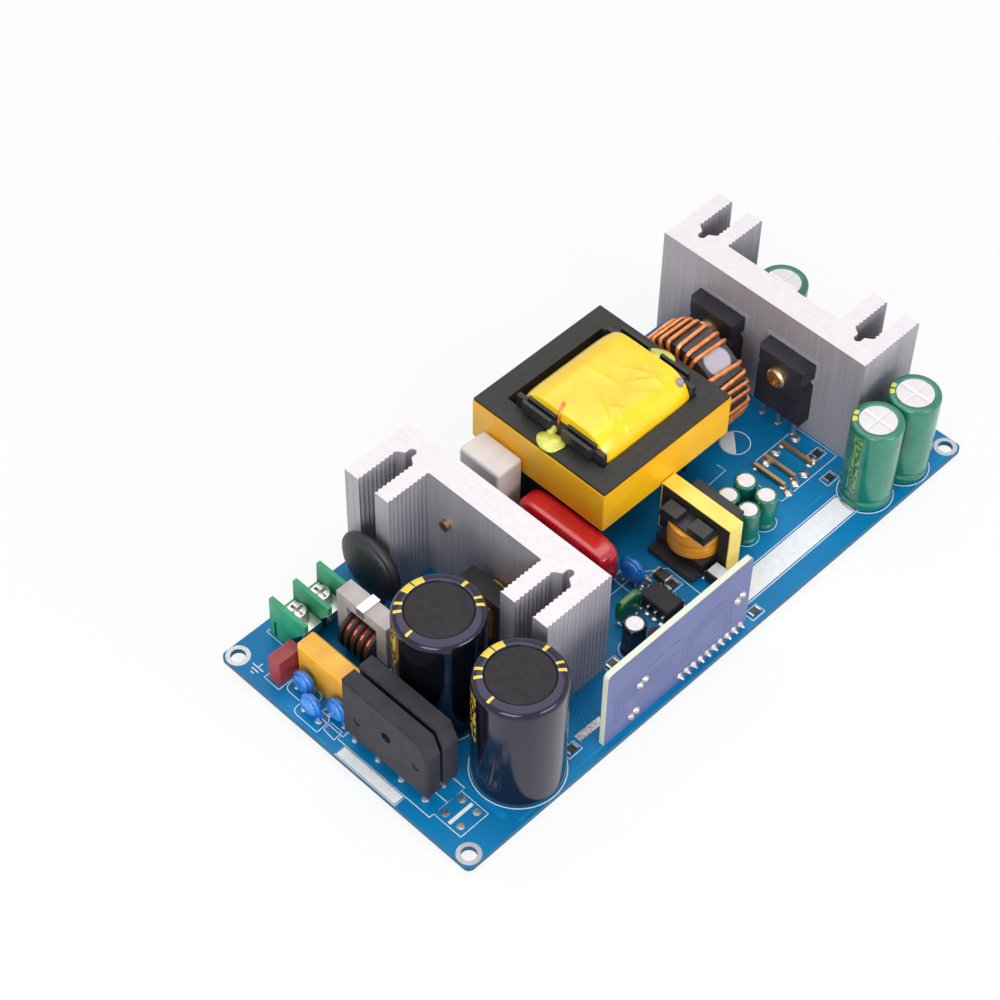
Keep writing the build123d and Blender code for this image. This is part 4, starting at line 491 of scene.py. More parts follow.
# Screw terminals: green moulded polyamide housings with tall dividing walls, tinned clamp
# plates bent from strip, and bright pan-head screws with crossed slots. A flat, nearly black strip
# of painted shade stands for the groove up the end wall of the input housing.
SLOT_Y, SLOT_LOW, SLOT_HIGH, SLOT_W, SLOT_T = 38.6, 0.3, 6.2, 0.8, 0.03
terminal_green = finish("terminal_green", (28, 138, 94), (46, 162, 116), cells=5, roughness=0.42)
relief(terminal_green, 0.4, 0.02)
dress(terminal_green, "terminal_housings")
clamp_metal = finish("clamp_metal", (206, 204, 200), metallic=1.0)
gloss(clamp_metal, 1.2, 0.2, 0.42, (1, 4, 1))
dress(clamp_metal, "terminal_clamps")
screw_metal = finish("screw_metal", (190, 188, 184), metallic=1.0)
gloss(screw_metal, 0.8, 0.18, 0.4)
dress(screw_metal, "terminal_screws")
# Painted shade: a near-black flat strip in place of the groove's shadow, the groove itself not modelled.
groove_shade = finish("groove_shade", (10, 16, 14), (24, 36, 30), cells=2, roughness=0.6)
slot_x = corners_of("terminal_housings")[0][0] - 0.01
slot_path = [(slot_x, SLOT_Y, board_top + SLOT_LOW), (slot_x, SLOT_Y, board_top + SLOT_HIGH)]
slot_bar = carried(slot_path, bar_section(SLOT_W, SLOT_T), up=(-1, 0, 0))
piece("terminal_slot", [(groove_shade, [slot_bar])])


# Fuse in its maroon moulded block, and the suppression capacitor potted in an amber plastic box.
# Both boxes are satin mouldings with softened edges, standing tight on the board.
fuse_plastic = finish("fuse_plastic", (138, 44, 48), (166, 62, 66), roughness=0.42)
relief(fuse_plastic, 0.3, 0.02)
dress(fuse_plastic, "fuse")
amber_box = finish("amber_box", (232, 164, 38), (246, 188, 66), cells=7, roughness=0.36)
relief(amber_box, 0.5, 0.015)
dress(amber_box, "x_capacitor")


# Ceramic disc capacitors: round blanks dipped in glossy blue epoxy, which runs down the two
# leads as short tapering legs.
DISC_RIM, DISC_PITCH, DISC_LEG = 1.3, 5.0, (0.45, 0.5, 1.15, 0.5)


def lens(radius, thickness, rim):
    """Half profile of a dipped disc: thickness falls with the fourth power of the distance from the middle,
    down to the rim, which is a half circle."""
    r = radius * np.sin(np.linspace(0, np.pi / 2, 12))
    face = rim / 2 + (thickness - rim) / 2 * (1 - (r / radius) ** 4)
    front = np.stack([r - rim / 2 * (r / radius) ** 8, face], -1)
    bend = np.linspace(np.pi / 2, -np.pi / 2, 7)[1:-1]
    edge = np.stack([radius - rim / 2 + rim / 2 * np.cos(bend), rim / 2 * np.sin(bend)], -1)
    back = front[::-1] * [1, -1]
    return np.concatenate([front, edge, back])


def tapered(start, stop, radius_start, radius_stop, steps=8):
    """Leg from start to stop whose radius falls from one value to the other along a half cosine."""
    t = np.linspace(0, 1, steps)[:, None]
    path = np.asarray(start, float) * (1 - t) + np.asarray(stop, float) * t
    radius = radius_stop + (radius_start - radius_stop) * (0.5 + 0.5 * np.cos(np.pi * t))
    angle = np.linspace(0, 2 * np.pi, 13)
    rim = np.stack([np.cos(angle), np.sin(angle), 0 * angle], -1)
    return capped(path, path[:, None] + radius[:, None] * rim[None])


def dipped_disc(low, high, rim, pitch, leg, steps):
    """Lens that stands across X in a box, and a leg down each lead. A leg is told by its start below the
    middle as a share of the radius, its end above the board, and its radius at both."""
    x, y, z = (low + high) / 2
    radius = (high - low)[2] / 2
    drop, end, thick, thin = leg
    legs = [tapered((x, leg_y, z - radius * drop), (x, leg_y, board_top + end), thick, thin)
            for leg_y in (y - pitch / 2, y + pitch / 2)]
    return [turned(lens(radius, (high - low)[0], rim), (x, y, z), steps, "x"), *legs]


disc_epoxy = finish("disc_epoxy", (24, 106, 200), (52, 138, 226), roughness=0.2, coat=0.6)
relief(disc_epoxy, 1.6, 0.05)
discs = []
for low, high in disc_spans:
    discs += dipped_disc(low, high, DISC_RIM, DISC_PITCH, DISC_LEG, 40)
piece("dipped_discs", [(disc_epoxy, discs)], ["ceramic_discs"])


# Common-mode choke: enamelled wire in four sections on a black bobbin, on one bar of a grey
# ferrite frame. A thin spring clip holds the frame's two halves together.
CHOKE_WIRE = 0.9


def round_section(radius, steps=12):
    """Circle as (a, b), closed."""
    angle = np.linspace(0, 2 * np.pi, steps + 1)
    return np.stack([radius * np.cos(angle), radius * np.sin(angle)], -1)


def coil_path(x, y0, y1, z, radius, turns, steps=24):
    """Helix about an axis along Y: (x + r cos a, y0 + (y1 - y0) a / a_end, z + r sin a)."""
    angle = np.linspace(0, 2 * np.pi * turns, int(steps * turns))
    return np.stack([x + radius * np.cos(angle), y0 + (y1 - y0) * angle / angle[-1],
                     z + radius * np.sin(angle)], -1)


choke_copper = finish("choke_copper", (138, 44, 28), (206, 96, 60), cells=1.4, roughness=0.28, metallic=0.6,
                      coat=0.5)
choke_wires = []
for low, high in spans("choke_windings"):
    half = (high - low)[1] / 2
    radius = (high - low)[2] / 2 - CHOKE_WIRE / 2
    x, y, z = (low + high) / 2
    reach = half - CHOKE_WIRE / 2
    path = coil_path(x, y - reach, y + reach, z, radius, max(2, round(2 * half / CHOKE_WIRE)))
    drum = [(0, -half), (radius, -half), (radius, half), (0, half)]
    choke_wires += [carried(path, round_section(CHOKE_WIRE / 2, 8), up=(0, 1, 0.001)),
                    turned(drum, (x, y, z), 32, "y")]
piece("choke_wire", [(choke_copper, choke_wires)], ["choke_windings"])
black_moulding = finish("black_moulding", (24, 24, 28), (42, 42, 46), cells=6, roughness=0.42)
relief(black_moulding, 0.35, 0.03)
dress(black_moulding, "choke_bobbin", "header_bar", "transformer_bobbin", "auxiliary_bobbin")
pale_ferrite = finish("pale_ferrite", (172, 161, 158), (192, 183, 179), roughness=0.46, metallic=0.1)
relief(pale_ferrite, 0.3, 0.012)
dress(pale_ferrite, "choke_core")
clip_metal = finish("clip_metal", (214, 210, 206), metallic=0.9)
gloss(clip_metal, 1.0, 0.2, 0.4, (4, 1, 1))
dress(clip_metal, "choke_clip")


# Inrush thermistor: a sintered disc under a thick coat of matt black resin, which is slightly
# lumpy from dipping. It stands on two stiff leads beside the front heatsink.
THERMISTOR_RIM, THERMISTOR_PITCH, THERMISTOR_LEG = 2.4, 7.5, (0.7, 1.8, 1.7, 0.6)
thermistor_resin = finish("thermistor_resin", (20, 21, 25), (36, 37, 43), cells=8, roughness=0.46)
relief(thermistor_resin, 2.2, 0.08)
relief(thermistor_resin, 0.4, 0.02)
disc = dipped_disc(*corners_of("thermistor"), THERMISTOR_RIM, THERMISTOR_PITCH, THERMISTOR_LEG, 64)
piece("thermistor_disc", [(thermistor_resin, disc)], ["thermistor"])


# Bridge rectifiers: two flat epoxy packages, moulded with a screw hole, one cut corner and
# shallow ejector marks, dark grey and slightly rough.
package_epoxy = finish("package_epoxy", (33, 31, 38), (47, 45, 53), cells=5, roughness=0.55, specular=0.3)
relief(package_epoxy, 0.25, 0.02)
dress(package_epoxy, "bridge_rectifier_1", "bridge_rectifier_2")


# Bulk capacitors: aluminium cans in shrunk black sleeves that curl over the shoulder, with a
# dull vented disc in the middle of the top and a speckled yellow polarity stripe down one side.
SLEEVE_INSET, SLEEVE_SHOULDER = 3.1, 1.5
STRIPE_AT, STRIPE_REACH, STRIPE_LOW, STRIPE_HIGH = 0.425, 0.028, 0.36, 2.2
SHOULDER_MARKS = ((0.211, 0.0235), (0.264, 0.0235), (0.345, 0.007), (0.385, 0.007), (0.02, 0.008),
                  (0.935, 0.006), (0.9, 0.007), (0.5, 0.006))


def combined(material, operation, first, second):
    """One number from two, by a Math node."""
    node = material.node_tree.nodes.new("ShaderNodeMath")
    node.operation = operation
    join(material, first, node.inputs[0])
    join(material, second, node.inputs[1])
    return node.outputs["Value"]


def strip_mask(material, centre, half_width, low, high):
    """1 inside a window of the piece's UV map: U within half_width of the centre, V from low to high."""
    nodes = material.node_tree.nodes
    split = nodes.new("ShaderNodeSeparateXYZ")
    join(material, nodes.new("ShaderNodeTexCoord").outputs["UV"], split.inputs["Vector"])
    tests = []
    for axis, middle, reach in (("X", centre, half_width), ("Y", (low + high) / 2, (high - low) / 2)):
        test = nodes.new("ShaderNodeMath")
        test.operation = "COMPARE"
        test.inputs[1].default_value = middle
        test.inputs[2].default_value = reach
        join(material, split.outputs[axis], test.inputs[0])
        tests.append(test.outputs["Value"])
    return combined(material, "MULTIPLY", *tests)


def strip_masks(material, strips, low, high):
    """1 inside any of several windows, given as (centre, half_width) pairs: the largest of their masks."""
    highest, *others = (strip_mask(material, *strip, low, high) for strip in strips)
    for mask in others:
        highest = combined(material, "MAXIMUM", highest, mask)
    return highest


def sleeve_profile(radius, height, inset, shoulder):
    """Shrunk sleeve from the foot's curl up the side, over the shoulder and down to the top disc."""
    line = [(0, 0.25), (radius - 1.6, 0.25), (radius - 1.3, 0), (radius - 0.35, 0.05), (radius, 0.7),
            (radius - 0.05, height * 0.5), (radius, height - shoulder),
            (radius - shoulder * 0.45, height - 0.4), (radius - inset, height),
            (radius - inset - 0.1, height - 0.6), (0, height - 0.6)]
    return eased(line, shoulder * 0.6, 7)


def share_at(profile, radius, height):
    """Share of the profile's length at its point nearest to a radius and height: V in the piece's UV map."""
    length = np.concatenate([[0], np.linalg.norm(np.diff(profile, axis=0), axis=1).cumsum()])
    return float(length[np.linalg.norm(profile - [radius, height], axis=1).argmin()] / length[-1])


def foot(low, high):
    """Middle of a box's underside."""
    return (*((low + high) / 2)[:2], low[2])


low, high = corners_of("bulk_capacitor_1")
radius, height = (high - low)[0] / 2, (high - low)[2]
can_line = sleeve_profile(radius, height, SLEEVE_INSET, SLEEVE_SHOULDER)
disc_line = eased([(0, height - 0.65), (radius - 3.3, height - 0.65), (radius - 3.25, height - 0.3),
                   (radius - 3.7, height - 0.15), (0, height - 0.05)], 0.3)
sleeve_black = finish("sleeve_black", roughness=0.16, coat=0.25)
shader_of(sleeve_black).inputs["Specular Tint"].default_value = tone(206, 198, 255)
speckle = scaled(sleeve_black, grain(sleeve_black, 0.9, (1, 1, 1.6), 2), 0.47, 0.53, 0, 1)
strip = strip_mask(sleeve_black, STRIPE_AT, STRIPE_REACH, share_at(can_line, radius, height * STRIPE_LOW),
                   share_at(can_line, radius, height - STRIPE_HIGH))
stripe = combined(sleeve_black, "MULTIPLY", strip, speckle)
marks = strip_masks(sleeve_black, SHOULDER_MARKS, share_at(can_line, radius - 0.7, height),
                    share_at(can_line, radius - 2.9, height))
sleeve_tone = over(sleeve_black, stripe, (13, 13, 20), (226, 192, 52))
painted(sleeve_black, over(sleeve_black, marks, sleeve_tone, (240, 210, 60)))
relief(sleeve_black, 9, 0.1, (1, 1, 3))
disc_dull = finish("disc_dull", (30, 27, 31), (44, 40, 45), cells=2.5, roughness=0.6, specular=0.25)
relief(disc_dull, 1.1, 0.08)
bulk_tops = []
for i in (1, 2):
    base = foot(*corners_of(f"bulk_capacitor_{i}"))
    piece(f"bulk_sleeve_{i}", [(sleeve_black, [turned(can_line, base, 96)])],
          [f"bulk_capacitor_{i}"])
    bulk_tops.append(turned(disc_line, base, 72))
piece("bulk_top_discs", [(disc_dull, bulk_tops)], ["bulk_capacitor_tops"])


# Heatsinks: aluminium extrusions with ribbed fins, sawn to length and left bare. The sawn ends on
# top show saw streaks and are painted far lighter than the sides as painted light from above; the sides show
# the die's fine upright lines.
extrusion = finish("extruded_aluminium")
# Lit and shaded copies of one metal: upward faces get painted light from above, the sides a darker tone with
# the die lines.
shaded_side_tone = mottled(extrusion, (162, 158, 165), (178, 174, 181), 0.7, (1, 1, 60))
lit_end_tone = mottled(extrusion, (224, 217, 220), (234, 227, 230), 0.8, (1, 3, 1))
painted(extrusion, over(extrusion, facing(extrusion, "Z"), shaded_side_tone, lit_end_tone))
join(extrusion, facing(extrusion, "Z", 0.35, 0.0), shader_of(extrusion).inputs["Metallic"])
gloss(extrusion, 1.5, 0.4, 0.54, (1, 1, 20))
relief(extrusion, 0.4, 0.01, (1, 1, 80))
dress(extrusion, "front_heatsink", "rear_heatsink")


# Power semiconductors: moulded three-lead packages screwed flat to the heatsinks over thin grey
# insulating pads, with plain steel screws through package and extrusion.
dress(package_epoxy, "switching_transistors", "output_rectifiers", "three_lead_part")
pad_grey = finish("pad_grey", (138, 138, 146), (164, 164, 168), cells=1.0, roughness=0.7)
dress(pad_grey, "insulating_pads")
sink_screw = finish("sink_screw", (206, 176, 132), metallic=1.0)
gloss(sink_screw, 0.8, 0.22, 0.42)
dress(sink_screw, "heatsink_screws")


# Driver transformer in the front channel: a small ferrite frame round a coil that is wound
# under orange polyester tape. It is soldered to the board by its pins.
dark_ferrite = finish("dark_ferrite", (38, 36, 34), (50, 48, 45), cells=1.1, roughness=0.5, specular=0.32)
relief(dark_ferrite, 0.4, 0.012)
dress(dark_ferrite, "driver_core", "transformer_core_1", "transformer_core_2", "auxiliary_core")
orange_tape = finish("orange_tape", (198, 118, 4), (238, 164, 26), cells=1.8, stretch=(9, 9, 1),
                     roughness=0.26, coat=0.5)
relief(orange_tape, 3, 0.12, (3, 3, 0.4))
dress(orange_tape, "driver_coil", "auxiliary_coil")


# Film capacitors: one is potted in a white plastic box, a long one and a small one are wound
# flat and dipped in glossy epoxy, red and green, with fully rounded edges.
RED_POWER, GREEN_POWER = 5.0, 3.4


def dipped_block(low, high, power, steps=48):
    """Superellipsoid in a box: each axis is half its length times sign(c) |c|^(2 / power), with
    c = cos a cos b, sin a cos b and sin b."""
    middle, half = (low + high) / 2, (high - low) / 2
    a = np.linspace(-np.pi, np.pi, 2 * steps + 1)[None, :]
    b = np.linspace(-np.pi / 2, np.pi / 2, steps + 1)[:, None]
    parts = [np.cos(a) * np.cos(b), np.sin(a) * np.cos(b), np.sin(b) + 0 * a]
    shape = np.stack([np.sign(part) * np.abs(part) ** (2 / power) for part in parts], -1)
    return middle + half * shape


white_box = finish("white_box", (226, 219, 216), (238, 232, 229), cells=6, roughness=0.34)
relief(white_box, 0.5, 0.012)
dress(white_box, "box_film_capacitor")
red_epoxy = finish("red_epoxy", (206, 14, 26), (230, 28, 38), cells=7, roughness=0.18, coat=0.7)
relief(red_epoxy, 4, 0.15)
block = dipped_block(*corners_of("red_film_capacitor"), RED_POWER)
piece("red_dipped_capacitor", [(red_epoxy, [block])], ["red_film_capacitor"])
green_epoxy = finish("green_epoxy", (16, 84, 44), (34, 112, 64), cells=3, roughness=0.22, coat=0.6)
relief(green_epoxy, 2, 0.08)
block = dipped_block(*corners_of("green_film_capacitor"), GREEN_POWER)
piece("green_dipped_capacitor", [(green_epoxy, [block])], ["green_film_capacitor"])


# Main transformer: ground ferrite halves lying flat, banded by amber polyester tape. The coil
# fills the window under layers of yellow tape, creased where they were pressed round its corners.
BAND, BAND_STEP, BAND_EASE = 0.35, 0.45, 0.5
COIL_CORNER, LOOP_POINTS, COIL_ROWS = 8.0, 300, 100
SAG = 0.2
amber_tape = finish("amber_tape", (254, 180, 4), (255, 200, 26), cells=12, stretch=(1, 1, 0.6),
                    roughness=0.34, coat=0.1)
relief(amber_tape, 5, 0.08, (1, 1, 0.4))
low, high = corners_of("transformer_tape")
middle, half = (low + high) / 2, (high - low) / 2 - BAND / 2
band_path = eased([middle + [half[0] * a, half[1] * b, 0] for a, b in
                   ((0, -1), (1, -1), (1, 1), (-1, 1), (-1, -1), (0, -1))], BAND_EASE)[:-1]
band_section = oblong(-BAND / 2, BAND / 2, -half[2], half[2] - BAND_STEP)
band = carried(band_path, band_section, closed=True)
piece("core_band", [(amber_tape, [band])], ["transformer_tape"])
pale_tape = finish("pale_tape", (240, 204, 66), (250, 224, 104), cells=7, roughness=0.3, coat=0.4)
dress(pale_tape, "auxiliary_tape")


def rounded_loop(half_y, half_z, corner, steps=24):
    """Rounded rectangle as (y, z): straight sides between quarter circles, started and ended below."""
    parts = []
    for y, z, start in ((half_y - corner, -half_z + corner, -90), (half_y - corner, half_z - corner, 0),
                        (-half_y + corner, half_z - corner, 90), (-half_y + corner, -half_z + corner, 180)):
        angle = np.radians(np.linspace(start, start + 90, steps))
        parts.append(np.stack([y + corner * np.cos(angle), z + corner * np.sin(angle)], -1))
    line = np.concatenate(parts + [parts[0][:1]])
    length = np.concatenate([[0], np.linalg.norm(np.diff(line, axis=0), axis=1).cumsum()])
    at = np.linspace(0, length[-1], LOOP_POINTS)
    return np.stack([np.interp(at, length, line[:, 0]), np.interp(at, length, line[:, 1])], -1)


def creases(first, second, folds):
    """Sum of ridges, each height times exp(-|d| / width - (s / reach)^2), with d the distance from a slanted
    line and s the way along it."""
    total = np.zeros(np.broadcast(first, second).shape)
    for at_first, at_second, slant, width, height, reach in folds:
        c, s = math.cos(math.radians(slant)), math.sin(math.radians(slant))
        across = (first - at_first) * c + (second - at_second) * s
        along = -(first - at_first) * s + (second - at_second) * c
        total += height * np.exp(-np.abs(across) / width - (along / reach) ** 2)
    return total


coil_tape = finish("coil_tape", (248, 196, 4), (252, 216, 30), cells=9, roughness=0.28, coat=0.35)
relief(coil_tape, 3.5, 0.16, (2.5, 1, 1))
low, high = corners_of("transformer_coil")
middle, half = (low + high) / 2, (high - low) / 2
loop = rounded_loop(half[1], half[2], COIL_CORNER)
along = np.concatenate([[-1, -1, -0.985], np.linspace(-0.97, 0.97, COIL_ROWS), [0.985, 1, 1]])
waist = 1 - 0.03 * np.abs(np.linspace(-1, 1, COIL_ROWS)) ** 9
shrink = np.concatenate([[0, 0.93, 0.97], waist, [0.97, 0.93, 0]])[:, None]
grid_y, grid_z = loop[None, :, 0] * shrink, loop[None, :, 1] * shrink
grid_x = along[:, None] * half[0] + 0 * grid_y
upper = np.clip(grid_z / half[2], 0, 1) ** 2
folds = [(8.5, -3.5, 28, 0.55, 0.3, 4), (7.2, -6.5, 58, 0.5, 0.32, 4), (9.5, -9.5, 12, 0.55, 0.3, 4.5),
         (6.0, -10.5, 84, 0.5, 0.26, 4), (10.6, -6.5, -24, 0.5, 0.26, 3.5), (8.2, -13.5, 44, 0.6, 0.34, 5),
         (-7.5, -6.0, -28, 0.55, 0.3, 4), (-8.8, -10.5, -54, 0.5, 0.3, 4),
         (-6.2, -13.0, -12, 0.55, 0.32, 4.5), (-4.0, -9.0, 36, 0.5, 0.24, 3.5),
         (2.0, -14.5, 78, 0.7, 0.4, 7), (0.5, 4.0, 6, 1.2, 0.2, 9)]
lift = (creases(grid_x, grid_y, folds) - SAG) * upper * (shrink > 0.5)
coil_grid = middle + np.stack([grid_x, grid_y, grid_z + lift], -1)
piece("taped_coil", [(coil_tape, [coil_grid])], ["transformer_coil"])


# Glue and wire end of the main transformer: pale yellow resin fixes the coil to its bobbin in
# flat drops, and one copper wire end and a grey bead stand proud of the tape.
GLUE_SPREAD, GLUE_SWELL, GLUE_STEM_R, WIRE_END_R = 1.05, 1.1, 1.2, 0.45
GLUE_LOBES = ((2, 0.1, 0.4), (3, 0.07, 1.9))


def dab(place, length, width, height):
    """Flat drop: its outline is 1 + the sum of small lobes a cos(n t + p), its height falls from the crown
    as (1 - q^2)^0.6, with q from 0 in the middle to 1 at the rim."""
    t = np.linspace(0, 2 * np.pi, 65)[None, :]
    q = np.sin(np.linspace(0, np.pi / 2, 14))[:, None]
    rim = 1 + sum(a * np.cos(n * t + p) for n, a, p in GLUE_LOBES)
    top = np.stack([width / 2 * rim * q * np.cos(t), length / 2 * rim * q * np.sin(t),
                    height * (1 - q ** 2) ** 0.6 + 0 * t], -1)
    return np.concatenate([top, 0 * top[:1]]) + place


glue_resin = finish("glue_resin", (196, 196, 52), (232, 228, 104), cells=2.5, roughness=0.2, coat=0.6)
glue_spans = spans("transformer_glue")
glue = []
for low, high in glue_spans:
    width, length, height = high - low
    glue.append(dab(foot(low, high), length, width * GLUE_SPREAD, height * GLUE_SWELL))
glue_z = glue_spans[0][0][2]
stem = eased([(-2.0, 19.2, glue_z + 0.3), (1.0, 19.8, glue_z + 1.2), (3.0, 20.8, glue_z + 3.0),
              (5.2, 21.6, glue_z + 3.4)], 1.5)
glue.append(carried(stem, round_section(GLUE_STEM_R)))
piece("glue_dabs", [(glue_resin, glue)], ["transformer_glue"])
wire_end = finish("wire_end", (206, 100, 44), (240, 142, 76), cells=1.2, roughness=0.3, metallic=0.5,
                  coat=0.3)
bead_grey = finish("bead_grey", (134, 132, 136), (168, 166, 168), cells=0.8)
loose_end = eased([(0.6, 18.4, 33.0), (0.8, 18.8, 35.8), (2.0, 19.3, 38.2), (4.2, 20.2, 38.7)], 1.2)
bead_line = [(0, -1.2), (0.9, -1.0), (1.15, 0), (0.9, 0.75), (0.4, 1.05), (0, 1.1)]
piece("coil_end", [(wire_end, [carried(loose_end, round_section(WIRE_END_R))]),
                             (bead_grey, [turned(bead_line, (31.6, 5.2, 36.7), 20)])])


# Output choke: a ferrite ring wound with one layer of thick enamelled wire, each turn pulled
# tight round the ring's section, with a bare stretch at the top where a pale painted highlight lies on the
# ferrite.
RING_INNER, TURN_WIRE, TURN_EASE, TURN_GAP = 8.0, 1.15, 1.4, 0.1
TURNS, WOUND_ANGLE, BARE_ANGLE = 30, 334, 122
HIGHLIGHT_R, HIGHLIGHT_EDGE, HIGHLIGHT_SHARE = 0.0038, 0.0043, 0.85


def wire_turn(inner, outer, half_width, radius, ease):
    """One turn in a plane through the ring's axis, as (axial, radial): a rounded rectangle."""
    r0, r1, w = inner - radius, outer + radius, half_width + radius
    corners = [(0, r0), (w, r0), (w, r1), (-w, r1), (-w, r0), (0, r0)]
    return eased(corners, ease, 6)[:-1]


enamel = finish("enamelled_copper", (214, 116, 54), (250, 166, 100), cells=2.0, roughness=0.3, metallic=0.6,
                coat=0.4)
low, high = corners_of("toroid_core")
centre, ring_outer, ring_half = (low + high) / 2, (high - low)[2] / 2, (high - low)[0] / 2
turn_line = wire_turn(RING_INNER - TURN_GAP, ring_outer + TURN_GAP, ring_half + TURN_GAP, TURN_WIRE / 2,
                      TURN_EASE)
wander = np.random.default_rng(7)
turns = []
for i in range(TURNS):
    step = (i - (TURNS - 1) / 2) * WOUND_ANGLE / (TURNS - 1)
    angle = math.radians(BARE_ANGLE - 180 + step + wander.uniform(-2.2, 2.2) * (0 < i < TURNS - 1))
    lean = wander.uniform(-0.04, 0.1)
    radial = np.array([0, math.cos(angle), math.sin(angle)])
    across = np.array([0, -math.sin(angle), math.cos(angle)])
    path = centre + turn_line[:, :1] * (np.array([1, 0, 0]) + lean * across) + turn_line[:, 1:] * radial
    turns.append(carried(path, round_section(TURN_WIRE / 2, 10), up=across, closed=True))
piece("ring_winding", [(enamel, turns)], ["toroid_winding"])
ring_ferrite = finish("ring_ferrite", roughness=0.46, metallic=0.1)
bare_angle = math.radians(BARE_ANGLE)
bare_place = centre + [0, ring_outer * math.cos(bare_angle), ring_outer * math.sin(bare_angle)]
nodes = ring_ferrite.node_tree.nodes
spot = nodes.new("ShaderNodeVectorMath")
spot.operation = "DISTANCE"
spot.inputs[1].default_value = bare_place / 1000
join(ring_ferrite, nodes.new("ShaderNodeTexCoord").outputs["Object"], spot.inputs[0])
# The pale round spot on the bare ferrite at the top is a painted highlight.
painted_highlight = scaled(ring_ferrite, spot.outputs["Value"], HIGHLIGHT_EDGE, HIGHLIGHT_R, 0, HIGHLIGHT_SHARE)
ring_tone = mottled(ring_ferrite, (48, 44, 48), (70, 65, 70), 1.5)
painted(ring_ferrite, over(ring_ferrite, painted_highlight, ring_tone, (186, 180, 192)))
relief(ring_ferrite, 0.5, 0.04)
dress(ring_ferrite, "toroid_core")


# Control parts: the eight-lead controller, the optocoupler with its pale lid, and small
# surface-mounted resistors with a glass-hard dark glaze and soldered end caps.
END_CAP, END_CAP_PROUD = 0.45, 0.04
LID_INSET, LID_LIFT, LID_T = 0.4, 0.005, 0.08
dress(package_epoxy, "controller_chips")
glaze = finish("resistor_glaze", (26, 23, 23), (48, 43, 42), cells=0.8, roughness=0.3)
dress(glaze, "chip_parts")
end_caps = []
for low, high in chip_spans:
    axis = int((high - low)[1] > (high - low)[0])
    for side in (0, 1):
        first, last = low - END_CAP_PROUD, high + END_CAP_PROUD
        if side:
            first[axis] = high[axis] - END_CAP
        else:
            last[axis] = low[axis] + END_CAP
        end_caps.append(patch(first[0], last[0], first[1], last[1], print_z, (high - low)[2] + INK))
piece("chip_end_caps", [(solder, end_caps)])
lid_white = finish("lid_white", (212, 214, 222), (232, 233, 236), cells=2)
low, high = spans("controller_chips")[-1]
(x0, y0, _), (x1, y1, _) = low + LID_INSET, high - LID_INSET
lid = patch(x0, x1, y0, y1, high[2] + LID_LIFT, LID_T)
piece("optocoupler_lid", [(lid_white, [lid])])


# Output and signal electrolytics: cans in shrunk green sleeves, one small one in black, with a
# crimp bead near the foot and a bare aluminium top that is scored with a cross. A pale speckled
# stripe marks the minus lead.
BEAD_UP, CAN_INSET, SMALL_BEAD_UP, SMALL_INSET = 3.0, 2.0, 1.8, 0.9
LID_DROP, LID_PLAY, SCORE, SMALL_SCORE = 0.15, 0.05, 0.09, 0.02
GREEN_MARKS = ((0.3, 0.02), (0.36, 0.02))


def can_profile(radius, height, bead_up, inset):
    """Sleeved can with a rounded groove near its foot and a curl over the top edge."""
    line = [(0, 0.15), (radius - 0.6, 0), (radius, 0.4), (radius, bead_up - 0.9), (radius - 0.6, bead_up),
            (radius, bead_up + 0.9), (radius - 0.03, height * 0.6), (radius, height - 0.5),
            (radius - 0.5, height), (radius - inset, height), (radius - inset - 0.1, height - 0.45),
            (0, height - 0.45)]
    return eased(line, 0.6, 5)


def scored_lid(radius, height, place, depth):
    """Flat lid with four shallow scores: height falls by depth exp(-(d / 0.3)^2), d the distance from the
    nearest arm."""
    t = np.linspace(0, 2 * np.pi, 65)[None, :]
    r = np.concatenate([np.linspace(0, radius, 20), [radius, 0]])[:, None]
    d = np.abs(r * np.sin(2 * t % np.pi) / 2)
    z = height - depth * np.exp(-(d / 0.3) ** 2)
    z[-2:] = height - 0.5
    return np.stack([r * np.cos(t), r * np.sin(t), z], -1) + np.asarray(place, float)


sleeve_green = finish("sleeve_green", roughness=0.2, coat=0.5)
bare_lid = finish("bare_lid", (214, 210, 212), metallic=0.5)
gloss(bare_lid, 1.2, 0.28, 0.5)
lids = []
for i in (1, 2, 3):
    low, high = corners_of(f"output_capacitor_{i}")
    base, radius, height = foot(low, high), (high - low)[0] / 2, (high - low)[2]
    green_line = can_profile(radius, height, BEAD_UP, CAN_INSET)
    piece(f"output_can_{i}", [(sleeve_green, [turned(green_line, base, 64)])],
          [f"output_capacitor_{i}"])
    lids.append(scored_lid(radius - CAN_INSET - LID_PLAY, height - LID_DROP, base, SCORE))
green_speckle = scaled(sleeve_green, grain(sleeve_green, 0.8, (1, 1, 1.5), 2), 0.46, 0.56, 0, 0.8)
stripe = combined(sleeve_green, "MULTIPLY", strip_mask(sleeve_green, 0.49, 0.035, 0.3, 0.8), green_speckle)
marks = strip_masks(sleeve_green, GREEN_MARKS, share_at(green_line, radius - 0.3, height),
                    share_at(green_line, radius - 1.7, height))
green_tone = mottled(sleeve_green, (10, 98, 76), (22, 121, 97), 8)
striped_green = over(sleeve_green, stripe, green_tone, (150, 168, 50))
painted(sleeve_green, over(sleeve_green, marks, striped_green, (226, 208, 60)))
relief(sleeve_green, 6, 0.06, (1, 1, 3))
small_black = finish("small_black_sleeve", (18, 18, 24), (34, 34, 40), cells=3, roughness=0.2, coat=0.3)
black_cans, green_cans = [], []
for low, high in small_spans:
    base, radius, height = foot(low, high), (high - low)[0] / 2, (high - low)[2]
    can = turned(can_profile(radius, height, SMALL_BEAD_UP, SMALL_INSET), base, 40)
    (black_cans if base[0] < 0 else green_cans).append(can)
    lids.append(scored_lid(radius - SMALL_INSET - LID_PLAY, height - LID_DROP, base, SMALL_SCORE))
piece("small_cans", [(small_black, black_cans), (sleeve_green, green_cans)],
      ["small_capacitors"])
piece("can_lids", [(bare_lid, lids)], ["capacitor_tops"])


